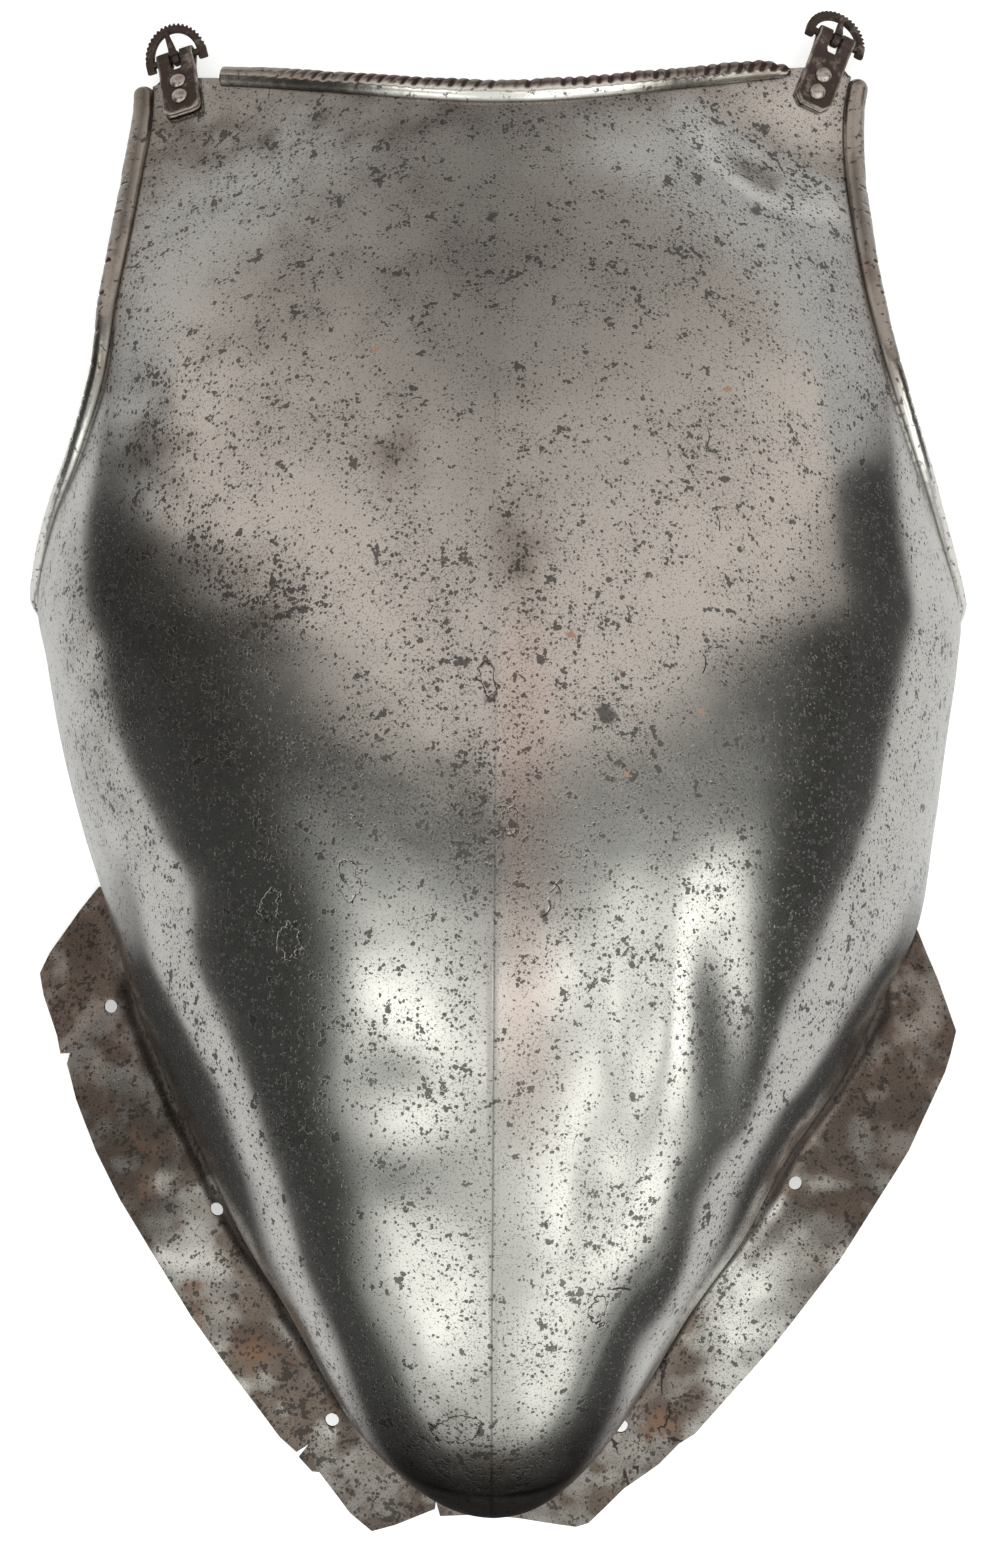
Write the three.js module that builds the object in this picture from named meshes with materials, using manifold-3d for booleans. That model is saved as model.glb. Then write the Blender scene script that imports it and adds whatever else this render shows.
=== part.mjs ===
// A steel breastplate of the late sixteenth century with a medial ridge and a low pointed belly,
// lying on its back edges with the front up.
// Millimetres. +X runs to the right as seen from the front, +Y from waist to neck, +Z to the front.

import * as THREE from 'three';
import { mergeVertices } from 'three/addons/utils/BufferGeometryUtils.js';
import Module from 'manifold-3d';

const wasm = await Module();
wasm.setup();

// Driving dimensions of the plate
const wallThickness = 2.0;
const rollRadius = 3.5;          // bead of the turned neck and arm edges
const rollReach = 0.9;           // bead centre beyond the crease, in bead radii
const rollLift = 0.1;            // bead centre below the outer face, in bead radii
const shoulderApron = 2.8;       // plain edge left unrolled under each buckle
const filletWidth = 9.0;         // hollow between the belly wall and the waist flange
const filletRise = 5.5;
const flangeOverhang = 6.0;      // flange is made this much too wide, then trimmed to its outline
const lacingHoleRadius = 2.2;
const origin = { x: -0.6, y: 8.3 };   // bottom centre of the finished piece in the plan below

// How finely the sheet is divided
const columnsAcross = 30;
const cellsPerStation = 2;
const flangeCells = 4;
const rollSides = 6;

// One row for each station from the neck down to the underside of the point. The ridge, left edge
// and right edge are places on the outer face. wrap says how far round the section's oval each half
// runs, full how square the oval is, and keen how sharp the medial ridge is.
const stations = table(
  ['ridgeX', 'ridgeY', 'ridgeZ', 'leftX', 'leftY', 'leftZ', 'rightX', 'rightY', 'rightZ',
    'wrap', 'full', 'keen'],
  [
    [-0.3, 218, 66, -116, 232, 22, 117.3, 235.5, 20, 45, 1.7, 0.02],
    [-0.4, 203, 77, -115.8, 219, 33, 114.8, 221, 32, 47, 1.75, 0.02],
    [-0.5, 184, 90.5, -117.9, 201, 44.5, 114.8, 201, 44.5, 50, 1.85, 0.03],
    [-0.6, 162, 103.5, -120.7, 178, 54, 116.5, 178, 54, 55, 1.95, 0.04],
    [-0.8, 139, 115.5, -124.5, 154, 58.5, 120, 154, 58.5, 60, 2.05, 0.06],
    [-1.0, 117, 125.5, -128.5, 130, 58, 126.3, 130, 58, 66, 2.15, 0.08],
    [-1.0, 95, 133.5, -137.5, 106, 49, 135.5, 106, 49, 72, 2.25, 0.09],
    [-1.1, 74, 140.5, -148.8, 84, 30, 145.3, 84, 30, 78, 2.3, 0.1],
    [-1.2, 52, 146.5, -156.6, 61, 6, 155.6, 58, 6, 84, 2.35, 0.11],
    [-1.3, 32, 151, -153.3, 40, 0, 154.9, 40, 0, 87, 2.4, 0.12],
    [-1.5, 6, 155.5, -147.7, 12, 0, 150.2, 10, 0, 88, 2.45, 0.12],
    [-1.7, -20, 158.8, -140.8, -14, 0, 146.1, -18, 0, 88, 2.5, 0.12],
    [-1.8, -43, 160.8, -133.6, -36, 4, 140.3, -50, 5, 87, 2.5, 0.12],
    [-1.9, -69, 161.7, -124, -62, 26, 125.5, -74, 28, 86, 2.5, 0.12],
    [-2.0, -96, 161, -111.5, -90, 40, 110.7, -98, 41, 86, 2.55, 0.12],
    [-2.0, -120, 158.8, -97.2, -118, 49.5, 93.8, -120, 50, 86, 2.6, 0.12],
    [-2.0, -146, 154.5, -83.7, -144, 56, 79.7, -144, 56, 86, 2.6, 0.11],
    [-2.0, -170, 148, -69.2, -166, 60.5, 62.6, -166, 61, 86, 2.6, 0.1],
    [-2.0, -192, 139, -58.2, -184, 63.5, 50.6, -184, 64, 87, 2.55, 0.09],
    [-2.0, -208, 129, -48.7, -198, 66, 40.5, -198, 66.5, 88, 2.5, 0.08],
    [-2.0, -220, 117, -38, -208, 68.5, 31, -208, 68.5, 89, 2.45, 0.06],
    [-2.0, -228, 104, -26.5, -214, 70, 21, -214, 70, 90, 2.4, 0.05],
    [-2.0, -228.5, 88, -14, -217, 71, 10, -217, 71, 90, 2.3, 0.04],
    [-2.0, -218, 71.5, -2, -218, 71.5, -2, -218, 71.5, 90, 2.2, 0],
  ],
);
const armpitStation = 8;
const earStation = 12;
const lastStation = stations.length - 1;

// Outer edge of the waist flange at each station from the ear to the middle
const flangeRim = table(
  ['leftX', 'leftY', 'leftZ', 'rightX', 'rightY', 'rightZ'],
  [
    [-138, -36.6, 4, 145, -50.6, 4],
    [-156, -66, 10.5, 152, -79, 14],
    [-146, -91, 23, 149.5, -97, 21],
    [-134, -121, 33.5, 135, -123, 32.5],
    [-122, -142, 40, 119, -146, 41.5],
    [-109, -162, 46, 104, -166, 47],
    [-95, -181, 50.5, 88, -185, 52],
    [-80, -201, 54.5, 72, -203, 56],
    [-64, -220, 58, 56, -217, 59],
    [-43, -241, 61, 31, -239, 62],
    [-20, -237, 63, 15, -239, 63],
    [-2, -237, 63.5, -2, -237, 63.5],
  ],
);

// The flange as cut and as later broken, from the left ear to the right ear
const flangeOutline = table(['x', 'y'], [
  [-135.2, -34.5], [-142.8, -44.2], [-152.2, -58.1], [-155.3, -65], [-153.5, -72.2],
  [-148, -85.4], [-146.5, -91], [-143.3, -90.8], [-144.2, -94.3], [-140.7, -105.9],
  [-133.6, -122.2], [-124.8, -138.1], [-113.3, -155.4], [-100.8, -174.3], [-90.1, -188.4],
  [-71.2, -212.5], [-65.8, -217], [-61.4, -214.1], [-65, -218.6], [-60.7, -223.1],
  [-58.3, -223.3], [-48.4, -236.1], [-41.3, -241.9], [-33.9, -239.7], [-20.9, -234.3],
  [-20.6, -231.8], [-19.3, -236.6], [-6, -236], [5.5, -237.2], [24.4, -240.2],
  [28.5, -239], [40, -228], [51.2, -220.5], [57.7, -214.1], [62.9, -211.2],
  [89.1, -183.3], [110.6, -157.5], [135.2, -122.4], [148.7, -97.3], [153, -84],
  [147.7, -67], [141.4, -49.8],
]);

const lacingHoles = table(['x', 'y'], [
  [-129.8, -75.3], [-92.4, -139.9], [-54.2, -206.4], [96.7, -131.8], [39, -207.9],
]);

// Driving dimensions of the shoulder buckles
const leafThickness = 1.1;
const leafWidth = 12.8;
const leafGap = 0.3;
const clippedCorner = 2.6;
const foldRadius = 2.3;          // middle of the sheet where it is folded round the bar
const slotWidth = 3.2;
const slotLength = 4.8;
const barRadius = 1.2;
const frameOuter = { x: 10.8, y: 12.2 };
const frameInner = { x: 7.7, y: 8.9 };
const frameThickness = 2.4;
const frameFoot = 2.4;           // the frame's ends run this far past the bar
const tongueWidth = 2.3;
const tongueEye = { inner: 1.55, outer: 2.55 };
const tongueReach = 10.2;
const tongueThickness = 1.1;
const rivetShank = 1.25;
const rivetHole = 1.55;
const rivetHead = { radius: 2.8, height: 1.6 };
const rivetBurr = { radius: 2.3, height: 0.9 };
const clearance = 0.3;

// Each buckle lies on a flat seat on the shoulder. x, y and z are the seat's plane below the bar,
// riseX and riseY its slopes, alongX and alongY the way that the leaf points in plan. length, upper
// and lower are the leaf's end and the rivets from the bar, lift is the frame's angle out of the
// leaf's plane and skew the tongue's angle off the middle.
const buckles = table(
  ['side', 'x', 'y', 'z', 'riseX', 'riseY', 'alongX', 'alongY', 'length', 'upper', 'lower',
    'lift', 'skew'],
  [
    ['left', -107.6, 240.6, 21.5, 0.36, -0.5, -0.13, 0.85, 23.6, 10.8, 17.4, 20, 7],
    ['right', 111.5, 247.0, 22.0, -0.28, -0.15, 0.34, 0.93, 25.6, 14, 20.4, -20, 0],
  ],
);
const seatFlat = 20;             // the shoulder is flat this far round the middle of the leaf
const seatBlend = 36;            // and takes up its own form again here

const steel = { color: 0x8d8781, metalness: 1.0, roughness: 0.36 };
const darkSteel = { color: 0x4f4a46, metalness: 1.0, roughness: 0.5 };

function table(columns, rows) {
  return rows.map((row) => Object.fromEntries(columns.map((name, i) => [name, row[i]])));
}

function mix(a, b, t) {
  return a + (b - a) * t;
}

function smooth(t) {
  const c = Math.min(1, Math.max(0, t));
  return c * c * (3 - 2 * c);
}

// A value of a table's column between its rows, on a curve through all of them
function along(rows, column, place) {
  const i = Math.min(Math.floor(place), rows.length - 2);
  const t = place - i;
  const [a, b, c, d] = [i - 1, i, i + 1, i + 2].map(
    (k) => rows[Math.min(Math.max(k, 0), rows.length - 1)][column],
  );
  return 0.5 * (2 * b + (c - a) * t + (2 * a - 5 * b + 4 * c - d) * t * t
    + (3 * b - a - 3 * c + d) * t * t * t);
}

// The outer face. across runs from -1 at the left edge over 0 at the ridge to 1 at the right edge,
// place is counted in stations. Each half is a stretch of a squared oval with a tent on top of it.
function bodyPoint(across, place) {
  const side = across < 0 ? 'left' : 'right';
  const at = (column) => along(stations, column, place);
  const turn = THREE.MathUtils.degToRad(at('wrap'));
  const power = 2 / at('full');
  const oval = (angle) => [Math.sin(angle) ** power, Math.max(Math.cos(angle), 0) ** power];
  const [endOut, endUp] = oval(turn);
  const [out, up] = oval(Math.abs(across) * turn);
  const reach = out / endOut;
  const height = mix((up - endUp) / (1 - endUp), 1 - reach, at('keen'));
  const neckShare = Math.max(0, 1 - place / 4);
  const sweep = mix(height, 1 - smooth(reach), neckShare);
  const point = new THREE.Vector3(
    mix(at('ridgeX'), at(`${side}X`), reach),
    mix(at(`${side}Y`), at('ridgeY'), sweep),
    Math.max(0, mix(at(`${side}Z`), at('ridgeZ'), height)),
  );
  return seated(point);
}

// Flattens the shoulders under the buckles
function seated(point) {
  for (const seat of buckles) {
    const [dx, dy] = [point.x - seat.x, point.y - seat.y];
    const distance = Math.hypot(dx + seat.alongX * seat.length / 2, dy + seat.alongY * seat.length / 2);
    const flat = 1 - smooth((distance - seatFlat) / (seatBlend - seatFlat));
    point.z = mix(point.z, seat.z + seat.riseX * dx + seat.riseY * dy, flat);
  }
  return point;
}

// The waist flange, from the foot of the wall (width 0) to past its rim (width 1)
function flangePoint(side, place, width) {
  const foot = bodyPoint(side === 'left' ? -1 : 1, place);
  const rimAt = (axis) => along(flangeRim, `${side}${axis}`, place - earStation);
  const rim = new THREE.Vector3(rimAt('X'), rimAt('Y'), rimAt('Z'));
  const outward = rim.clone().sub(foot).setZ(0);
  const span = outward.length();
  rim.addScaledVector(outward, flangeOverhang / span);
  const point = foot.clone().lerp(rim, width);
  const run = width * (span + flangeOverhang);
  const hollow = Math.max(0, 1 - run / filletWidth) ** 2;
  const drop = Math.min(filletRise, Math.max(0, foot.z - rim.z) * 0.9);
  point.z = mix(foot.z - drop, rim.z, width) + drop * hollow;
  return point;
}

// How much of the turned bead the edge carries at a point of the neck or of an arm opening
function neckRoll(x) {
  return smooth((x + 92.5) / 3) * (1 - smooth((x - 86) / 9));
}

function armRoll(place) {
  return smooth(place / 0.3) * (1 - smooth((place - armpitStation + 0.1) / 0.35));
}

// The outer face as shared points and triangles, and the loop of points round its border
function makeSheet() {
  const points = [];
  const triangles = [];
  const border = [];
  const add = (point) => points.push(point) - 1;
  const rows = lastStation * cellsPerStation;
  const earRow = earStation * cellsPerStation;
  const placeOf = (row) => row / cellsPerStation;
  const body = [];
  for (let row = 0; row < rows; row += 1) {
    body.push(Array.from({ length: columnsAcross + 1 }, (_, column) => (
      add(bodyPoint(2 * column / columnsAcross - 1, placeOf(row)))
    )));
  }
  const pole = add(bodyPoint(0, lastStation));
  body.push(Array(columnsAcross + 1).fill(pole));

  const patch = (grid) => {
    for (let i = 0; i + 1 < grid.length; i += 1) {
      for (let j = 0; j + 1 < grid[i].length; j += 1) {
        const [a, b, c, d] = [grid[i][j], grid[i][j + 1], grid[i + 1][j + 1], grid[i + 1][j]];
        if (a !== b && d !== a) triangles.push([a, d, b]);
        if (b !== c && c !== d) triangles.push([b, d, c]);
      }
    }
  };
  patch(body);

  // the flange goes from the left ear round under the point to the right ear
  const stops = [];
  for (let row = earRow; row <= rows; row += 1) stops.push(['left', row, body[row][0]]);
  for (let row = rows - 1; row >= earRow; row -= 1) stops.push(['right', row, body[row].at(-1)]);
  const flange = [stops.map((stop) => stop[2])];
  for (let cell = 1; cell <= flangeCells; cell += 1) {
    const width = (cell / flangeCells) ** 1.5;
    flange.push(stops.map(([side, row]) => add(flangePoint(side, placeOf(row), width))));
  }
  patch(flange);

  const edge = (index, bead, apron = 0, level = false) => border.push({ index, bead, apron, level });
  body[0].forEach((index) => {
    const bead = neckRoll(points[index].x);
    edge(index, bead, shoulderApron * (1 - bead));
  });
  const sideEdge = (row, index) => {
    const place = placeOf(row);
    edge(index, armRoll(place), 0, place > armpitStation + 0.4 && place < earStation - 0.4);
  };
  for (let row = 1; row <= earRow; row += 1) sideEdge(row, body[row].at(-1));
  for (let cell = 1; cell <= flangeCells; cell += 1) edge(flange[cell].at(-1), 0);
  for (let i = stops.length - 2; i >= 0; i -= 1) edge(flange[flangeCells][i], 0);
  for (let cell = flangeCells - 1; cell >= 1; cell -= 1) edge(flange[cell][0], 0);
  for (let row = earRow; row >= 1; row -= 1) sideEdge(row, body[row][0]);
  return { points, triangles, border };
}

function pointNormals(points, triangles) {
  const normals = points.map(() => new THREE.Vector3());
  for (const [a, b, c] of triangles) {
    const face = points[b].clone().sub(points[a]).cross(points[c].clone().sub(points[a]));
    for (const i of [a, b, c]) normals[i].add(face);
  }
  return normals.map((normal) => normal.normalize());
}

// Gives the sheet its thickness and closes its border with a plain cut edge or a turned bead
function makeShell({ points, triangles, border }) {
  const normals = pointNormals(points, triangles);
  const count = points.length;
  const vertices = [
    ...points,
    ...points.map((point, i) => point.clone().addScaledVector(normals[i], -wallThickness)),
  ];
  for (const { index, level } of border) {
    if (level) vertices[index + count].z = vertices[index].z;
  }
  const faces = [...triangles, ...triangles.map(([a, b, c]) => [a + count, c + count, b + count])];

  const rings = [border.map(({ index }) => index)];
  for (let side = 1; side <= rollSides; side += 1) {
    rings.push(border.map((edge, k) => {
      const outer = points[edge.index];
      const inner = vertices[edge.index + count];
      const before = points[border.at(k - 1).index];
      const after = points[border[(k + 1) % border.length].index];
      const normal = normals[edge.index];
      const outward = normal.clone().cross(after.clone().sub(before)).normalize();
      const share = side / (rollSides + 1);

      const corner = edge.apron / shoulderApron;
      const down = mix(share, smooth((share - 0.25) / 0.5), corner);
      const reach = edge.apron * Math.min(1, 4 * Math.min(share, 1 - share));
      const plain = outer.clone().lerp(inner, down).addScaledVector(outward, reach);

      const angle = THREE.MathUtils.degToRad(mix(165, -165, share));
      const bead = outer.clone()
        .addScaledVector(outward, rollRadius * (rollReach + Math.cos(angle)))
        .addScaledVector(normal, rollRadius * (Math.sin(angle) - rollLift));
      vertices.push(plain.lerp(bead, edge.bead));
      return vertices.length - 1;
    }));
  }
  rings.push(border.map(({ index }) => index + count));
  for (let side = 0; side + 1 < rings.length; side += 1) {
    for (let k = 0; k < border.length; k += 1) {
      const next = (k + 1) % border.length;
      const [a, b] = [rings[side][k], rings[side][next]];
      const [d, c] = [rings[side + 1][k], rings[side + 1][next]];
      faces.push([a, b, c], [a, c, d]);
    }
  }
  return new wasm.Manifold(new wasm.Mesh({
    numProp: 3,
    vertProperties: new Float32Array(vertices.flatMap((vertex) => vertex.toArray())),
    triVerts: new Uint32Array(faces.flat()),
  }));
}

function solidOf(geometry, matrix = new THREE.Matrix4()) {
  const bare = geometry.clone().applyMatrix4(matrix);
  bare.deleteAttribute('normal');
  bare.deleteAttribute('uv');
  const merged = mergeVertices(bare, 1e-4);
  return new wasm.Manifold(new wasm.Mesh({
    numProp: 3,
    vertProperties: new Float32Array(merged.attributes.position.array),
    triVerts: new Uint32Array(merged.index.array),
  }));
}

function geometryOf(solid) {
  const mesh = solid.getMesh();
  const geometry = new THREE.BufferGeometry();
  geometry.setAttribute('position', new THREE.BufferAttribute(mesh.vertProperties, 3));
  geometry.setIndex(new THREE.BufferAttribute(mesh.triVerts, 1));
  geometry.computeVertexNormals();
  return geometry;
}

function extruded(outline, depth, steps = 6) {
  const shape = outline instanceof THREE.Shape ? outline : new THREE.Shape(outline);
  return new THREE.ExtrudeGeometry(shape, { depth, bevelEnabled: false, curveSegments: steps });
}

function pin(radius, length, sides = 12) {
  return new THREE.CylinderGeometry(radius, radius, length, sides).rotateX(Math.PI / 2);
}

// The frame of a buckle's seat: x across the leaf, y along it towards the bar, z off the shoulder.
// The origin is on the bar's axis, lifted so that the leaf's underside clears the shoulder.
const barHeight = clearance + leafThickness + leafGap / 2;

function buckleMatrix(seat) {
  const off = new THREE.Vector3(-seat.riseX, -seat.riseY, 1).normalize();
  const lengthways = new THREE.Vector3(seat.alongX, seat.alongY, 0);
  lengthways.z = seat.riseX * seat.alongX + seat.riseY * seat.alongY;
  lengthways.normalize();
  const across = lengthways.clone().cross(off);
  const centre = new THREE.Vector3(seat.x, seat.y, seat.z).addScaledVector(off, barHeight);
  return new THREE.Matrix4().makeBasis(across, lengthways, off).setPosition(centre);
}

function makeBreastplate() {
  let plate = makeShell(makeSheet());
  const far = 190;
  const outline = [
    new THREE.Vector2(far, flangeOutline.at(-1).y + 2), new THREE.Vector2(far, 270),
    new THREE.Vector2(-far, 270), new THREE.Vector2(-far, flangeOutline[0].y + 2),
    ...flangeOutline.map(({ x, y }) => new THREE.Vector2(x, y)),
  ];
  const trim = extruded(outline, 240).translate(0, 0, -30);
  plate = plate.intersect(solidOf(trim));
  for (const { x, y } of lacingHoles) {
    plate = plate.subtract(solidOf(pin(lacingHoleRadius, 90).translate(x, y, 40)));
  }
  for (const seat of buckles) {
    for (const place of [seat.upper, seat.lower]) {
      const hole = pin(rivetHole, 14).translate(0, -place, 0);
      plate = plate.subtract(solidOf(hole, buckleMatrix(seat)));
    }
  }
  return geometryOf(plate);
}

// Sheet folded round the bar, with both leaves running back over the shoulder
function makeBucklePlate(seat) {
  const leafZ = (leafThickness + leafGap) / 2;
  const path = [new THREE.Vector2(-seat.length, -leafZ), new THREE.Vector2(-5.6, -leafZ)];
  for (let degrees = -140; degrees <= 140; degrees += 28) {
    const angle = THREE.MathUtils.degToRad(degrees);
    path.push(new THREE.Vector2(foldRadius * Math.cos(angle), foldRadius * Math.sin(angle)));
  }
  path.push(new THREE.Vector2(-5.6, leafZ), new THREE.Vector2(-seat.length, leafZ));
  const offset = (sign) => path.map((point, i) => {
    const tangent = path[Math.min(i + 1, path.length - 1)].clone()
      .sub(path[Math.max(i - 1, 0)]).normalize();
    return new THREE.Vector2(point.x - tangent.y * sign, point.y + tangent.x * sign);
  });
  const half = leafThickness / 2;
  const section = [...offset(half), ...offset(-half).reverse()];
  // the section lies in y and z, and is swept along x
  const turn = new THREE.Matrix4().makeBasis(
    new THREE.Vector3(0, 1, 0), new THREE.Vector3(0, 0, 1), new THREE.Vector3(1, 0, 0),
  ).setPosition(-leafWidth / 2, 0, 0);
  let solid = solidOf(extruded(section, leafWidth), turn);

  const w = leafWidth / 2;
  const clipped = [
    [w, 4], [-w, 4], [-w, clippedCorner - seat.length], [clippedCorner - w, -seat.length],
    [w - clippedCorner, -seat.length], [w, clippedCorner - seat.length],
  ].map(([x, y]) => new THREE.Vector2(x, y));
  solid = solid.intersect(solidOf(extruded(clipped, 12).translate(0, 0, -6)));
  const slot = new THREE.BoxGeometry(slotWidth, slotLength + 4, 12).translate(0, 2 - slotLength / 2, 0);
  solid = solid.subtract(solidOf(slot));
  for (const place of [seat.upper, seat.lower]) {
    solid = solid.subtract(solidOf(pin(rivetHole, 12).translate(0, -place, 0)));
  }
  return geometryOf(solid);
}

// D-shaped frame with its ends cut flat, and the straight bar that joins them
function makeBuckleFrame() {
  const shape = new THREE.Shape();
  shape.moveTo(frameOuter.x, -frameFoot);
  shape.lineTo(frameOuter.x, 0);
  shape.absellipse(0, 0, frameOuter.x, frameOuter.y, 0, Math.PI, false);
  shape.lineTo(-frameOuter.x, -frameFoot);
  shape.lineTo(-frameInner.x, -frameFoot);
  shape.lineTo(-frameInner.x, 0);
  shape.absellipse(0, 0, frameInner.x, frameInner.y, Math.PI, 0, true);
  shape.lineTo(frameInner.x, -frameFoot);
  const arc = solidOf(extruded(shape, frameThickness, 14).translate(0, 0, -frameThickness / 2));
  const bar = new THREE.CylinderGeometry(barRadius, barRadius, 2 * frameInner.x + 2, 10)
    .rotateZ(Math.PI / 2);
  return geometryOf(arc.add(solidOf(bar)));
}

// Tongue with an eye round the bar, its tip lying on the front of the frame
function makeBuckleTongue() {
  const eye = new THREE.Shape();
  eye.absarc(0, 0, tongueEye.outer, 0, 2 * Math.PI);
  eye.holes.push(new THREE.Path().absarc(0, 0, tongueEye.inner, 0, 2 * Math.PI));
  const low = frameThickness / 2 + clearance;
  const high = low + tongueThickness;
  const blade = [
    [1.75, 0.2], [2.3, 0.2], [3.4, low], [tongueReach, low], [tongueReach, low + 0.5],
    [tongueReach - 0.8, high], [0.4, high], [0.2, tongueEye.inner + 0.15],
    [1.15, tongueEye.inner - 0.2],
  ].map(([y, z]) => new THREE.Vector2(y, z));
  const turn = new THREE.Matrix4().makeBasis(
    new THREE.Vector3(0, 1, 0), new THREE.Vector3(0, 0, 1), new THREE.Vector3(1, 0, 0),
  ).setPosition(-tongueWidth / 2, 0, 0);
  const body = solidOf(extruded(blade, tongueWidth), turn);
  return geometryOf(solidOf(extruded(eye, tongueWidth, 7), turn).add(body));
}

// Domed rivet through both leaves and the plate, burred over on the inside
function makeRivet() {
  const top = leafThickness + leafGap / 2 + clearance;
  const under = -barHeight - wallThickness - clearance;
  const dome = [0, 25, 50, 75].map((degrees) => {
    const angle = THREE.MathUtils.degToRad(degrees);
    return [rivetHead.radius * Math.cos(angle), top + 0.3 + (rivetHead.height - 0.3) * Math.sin(angle)];
  });
  const profile = [
    [0, under - rivetBurr.height], [rivetBurr.radius * 0.8, under - rivetBurr.height],
    [rivetBurr.radius, under - rivetBurr.height / 2], [rivetBurr.radius, under],
    [rivetShank, under], [rivetShank, top], [rivetHead.radius, top], ...dome,
    [0, top + rivetHead.height],
  ].map(([r, z]) => new THREE.Vector2(r, z));
  return new THREE.LatheGeometry(profile, 12).rotateX(Math.PI / 2);
}

function named(name, geometry, finish) {
  const mesh = new THREE.Mesh(geometry, new THREE.MeshStandardMaterial(finish));
  mesh.name = name;
  return mesh;
}

const object = new THREE.Group();
object.position.set(-origin.x, -origin.y, 0);
object.add(named('breastplate', makeBreastplate(), steel));

for (const seat of buckles) {
  const buckle = new THREE.Group();
  buckle.applyMatrix4(buckleMatrix(seat));
  buckle.add(named(`buckle_plate_${seat.side}`, makeBucklePlate(seat), darkSteel));
  const hinged = new THREE.Group();
  hinged.rotation.x = THREE.MathUtils.degToRad(seat.lift);
  hinged.add(named(`buckle_frame_${seat.side}`, makeBuckleFrame(), darkSteel));
  const tongue = named(`buckle_tongue_${seat.side}`, makeBuckleTongue(), darkSteel);
  tongue.rotation.z = THREE.MathUtils.degToRad(seat.skew);
  hinged.add(tongue);
  buckle.add(hinged);
  for (const place of ['upper', 'lower']) {
    const rivet = named(`rivet_${seat.side}_${place}`, makeRivet(), steel);
    rivet.position.y = -seat[place];
    buckle.add(rivet);
  }
  object.add(buckle);
}

export default object;
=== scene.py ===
import math

import bmesh
import bpy
import numpy as np
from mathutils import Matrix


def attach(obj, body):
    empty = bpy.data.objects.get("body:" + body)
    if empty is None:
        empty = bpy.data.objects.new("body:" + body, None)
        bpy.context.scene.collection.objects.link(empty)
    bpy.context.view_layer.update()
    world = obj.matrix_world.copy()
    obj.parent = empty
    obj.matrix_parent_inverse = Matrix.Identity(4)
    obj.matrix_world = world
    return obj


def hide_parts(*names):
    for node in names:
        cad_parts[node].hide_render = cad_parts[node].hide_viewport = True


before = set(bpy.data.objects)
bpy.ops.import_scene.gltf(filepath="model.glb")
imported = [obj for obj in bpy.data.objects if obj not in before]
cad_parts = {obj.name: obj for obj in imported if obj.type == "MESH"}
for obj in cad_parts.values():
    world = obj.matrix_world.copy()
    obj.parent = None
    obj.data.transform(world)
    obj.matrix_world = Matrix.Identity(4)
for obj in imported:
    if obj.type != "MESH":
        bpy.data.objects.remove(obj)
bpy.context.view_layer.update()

print("frame loaded")

# Sizes are in millimetres until a mesh is made. The plan's origin is moved to the frame's by planToFrame.
mm = 0.001
planToFrame = np.array([0.6, -8.3, 0.0])

# The photograph's camera: straight above, its long side is the picture's height
photoCamera = {"x": 0.6, "y": -8.3, "height": 1100.0, "lens": 74.33, "sensor": 36.0}

plate = {
    "thickness": 2.0,
    "rows": 280, "columns": 220, "flangeCells": 22,   # cells of the outer face, twice those of the inner
    "apron": 2.8, "apronTaper": 6,                     # plain edge under each buckle, and its end in cells
    "edgeRound": 0.35, "crowding": 0.5,
    "filletWidth": 9.0, "filletRise": 5.5,
    "flangeOverhang": 6.0, "flangeCrowding": 1.25,     # trimmed off again by the flange outline
    "lacingHole": 2.2, "holeSides": 32,
    "sharpAngle": 38,
}

roll = {
    "radius": 3.5, "reach": 0.9, "lift": 0.1,          # reach and lift of the centre, in radii
    "sides": 40, "step": 0.42,
}


# Turns rows of numbers into one array for each named column
def table(columns, rows):
    return {name: np.array(values, float) for name, values in zip(columns.split(), zip(*rows))}


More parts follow.
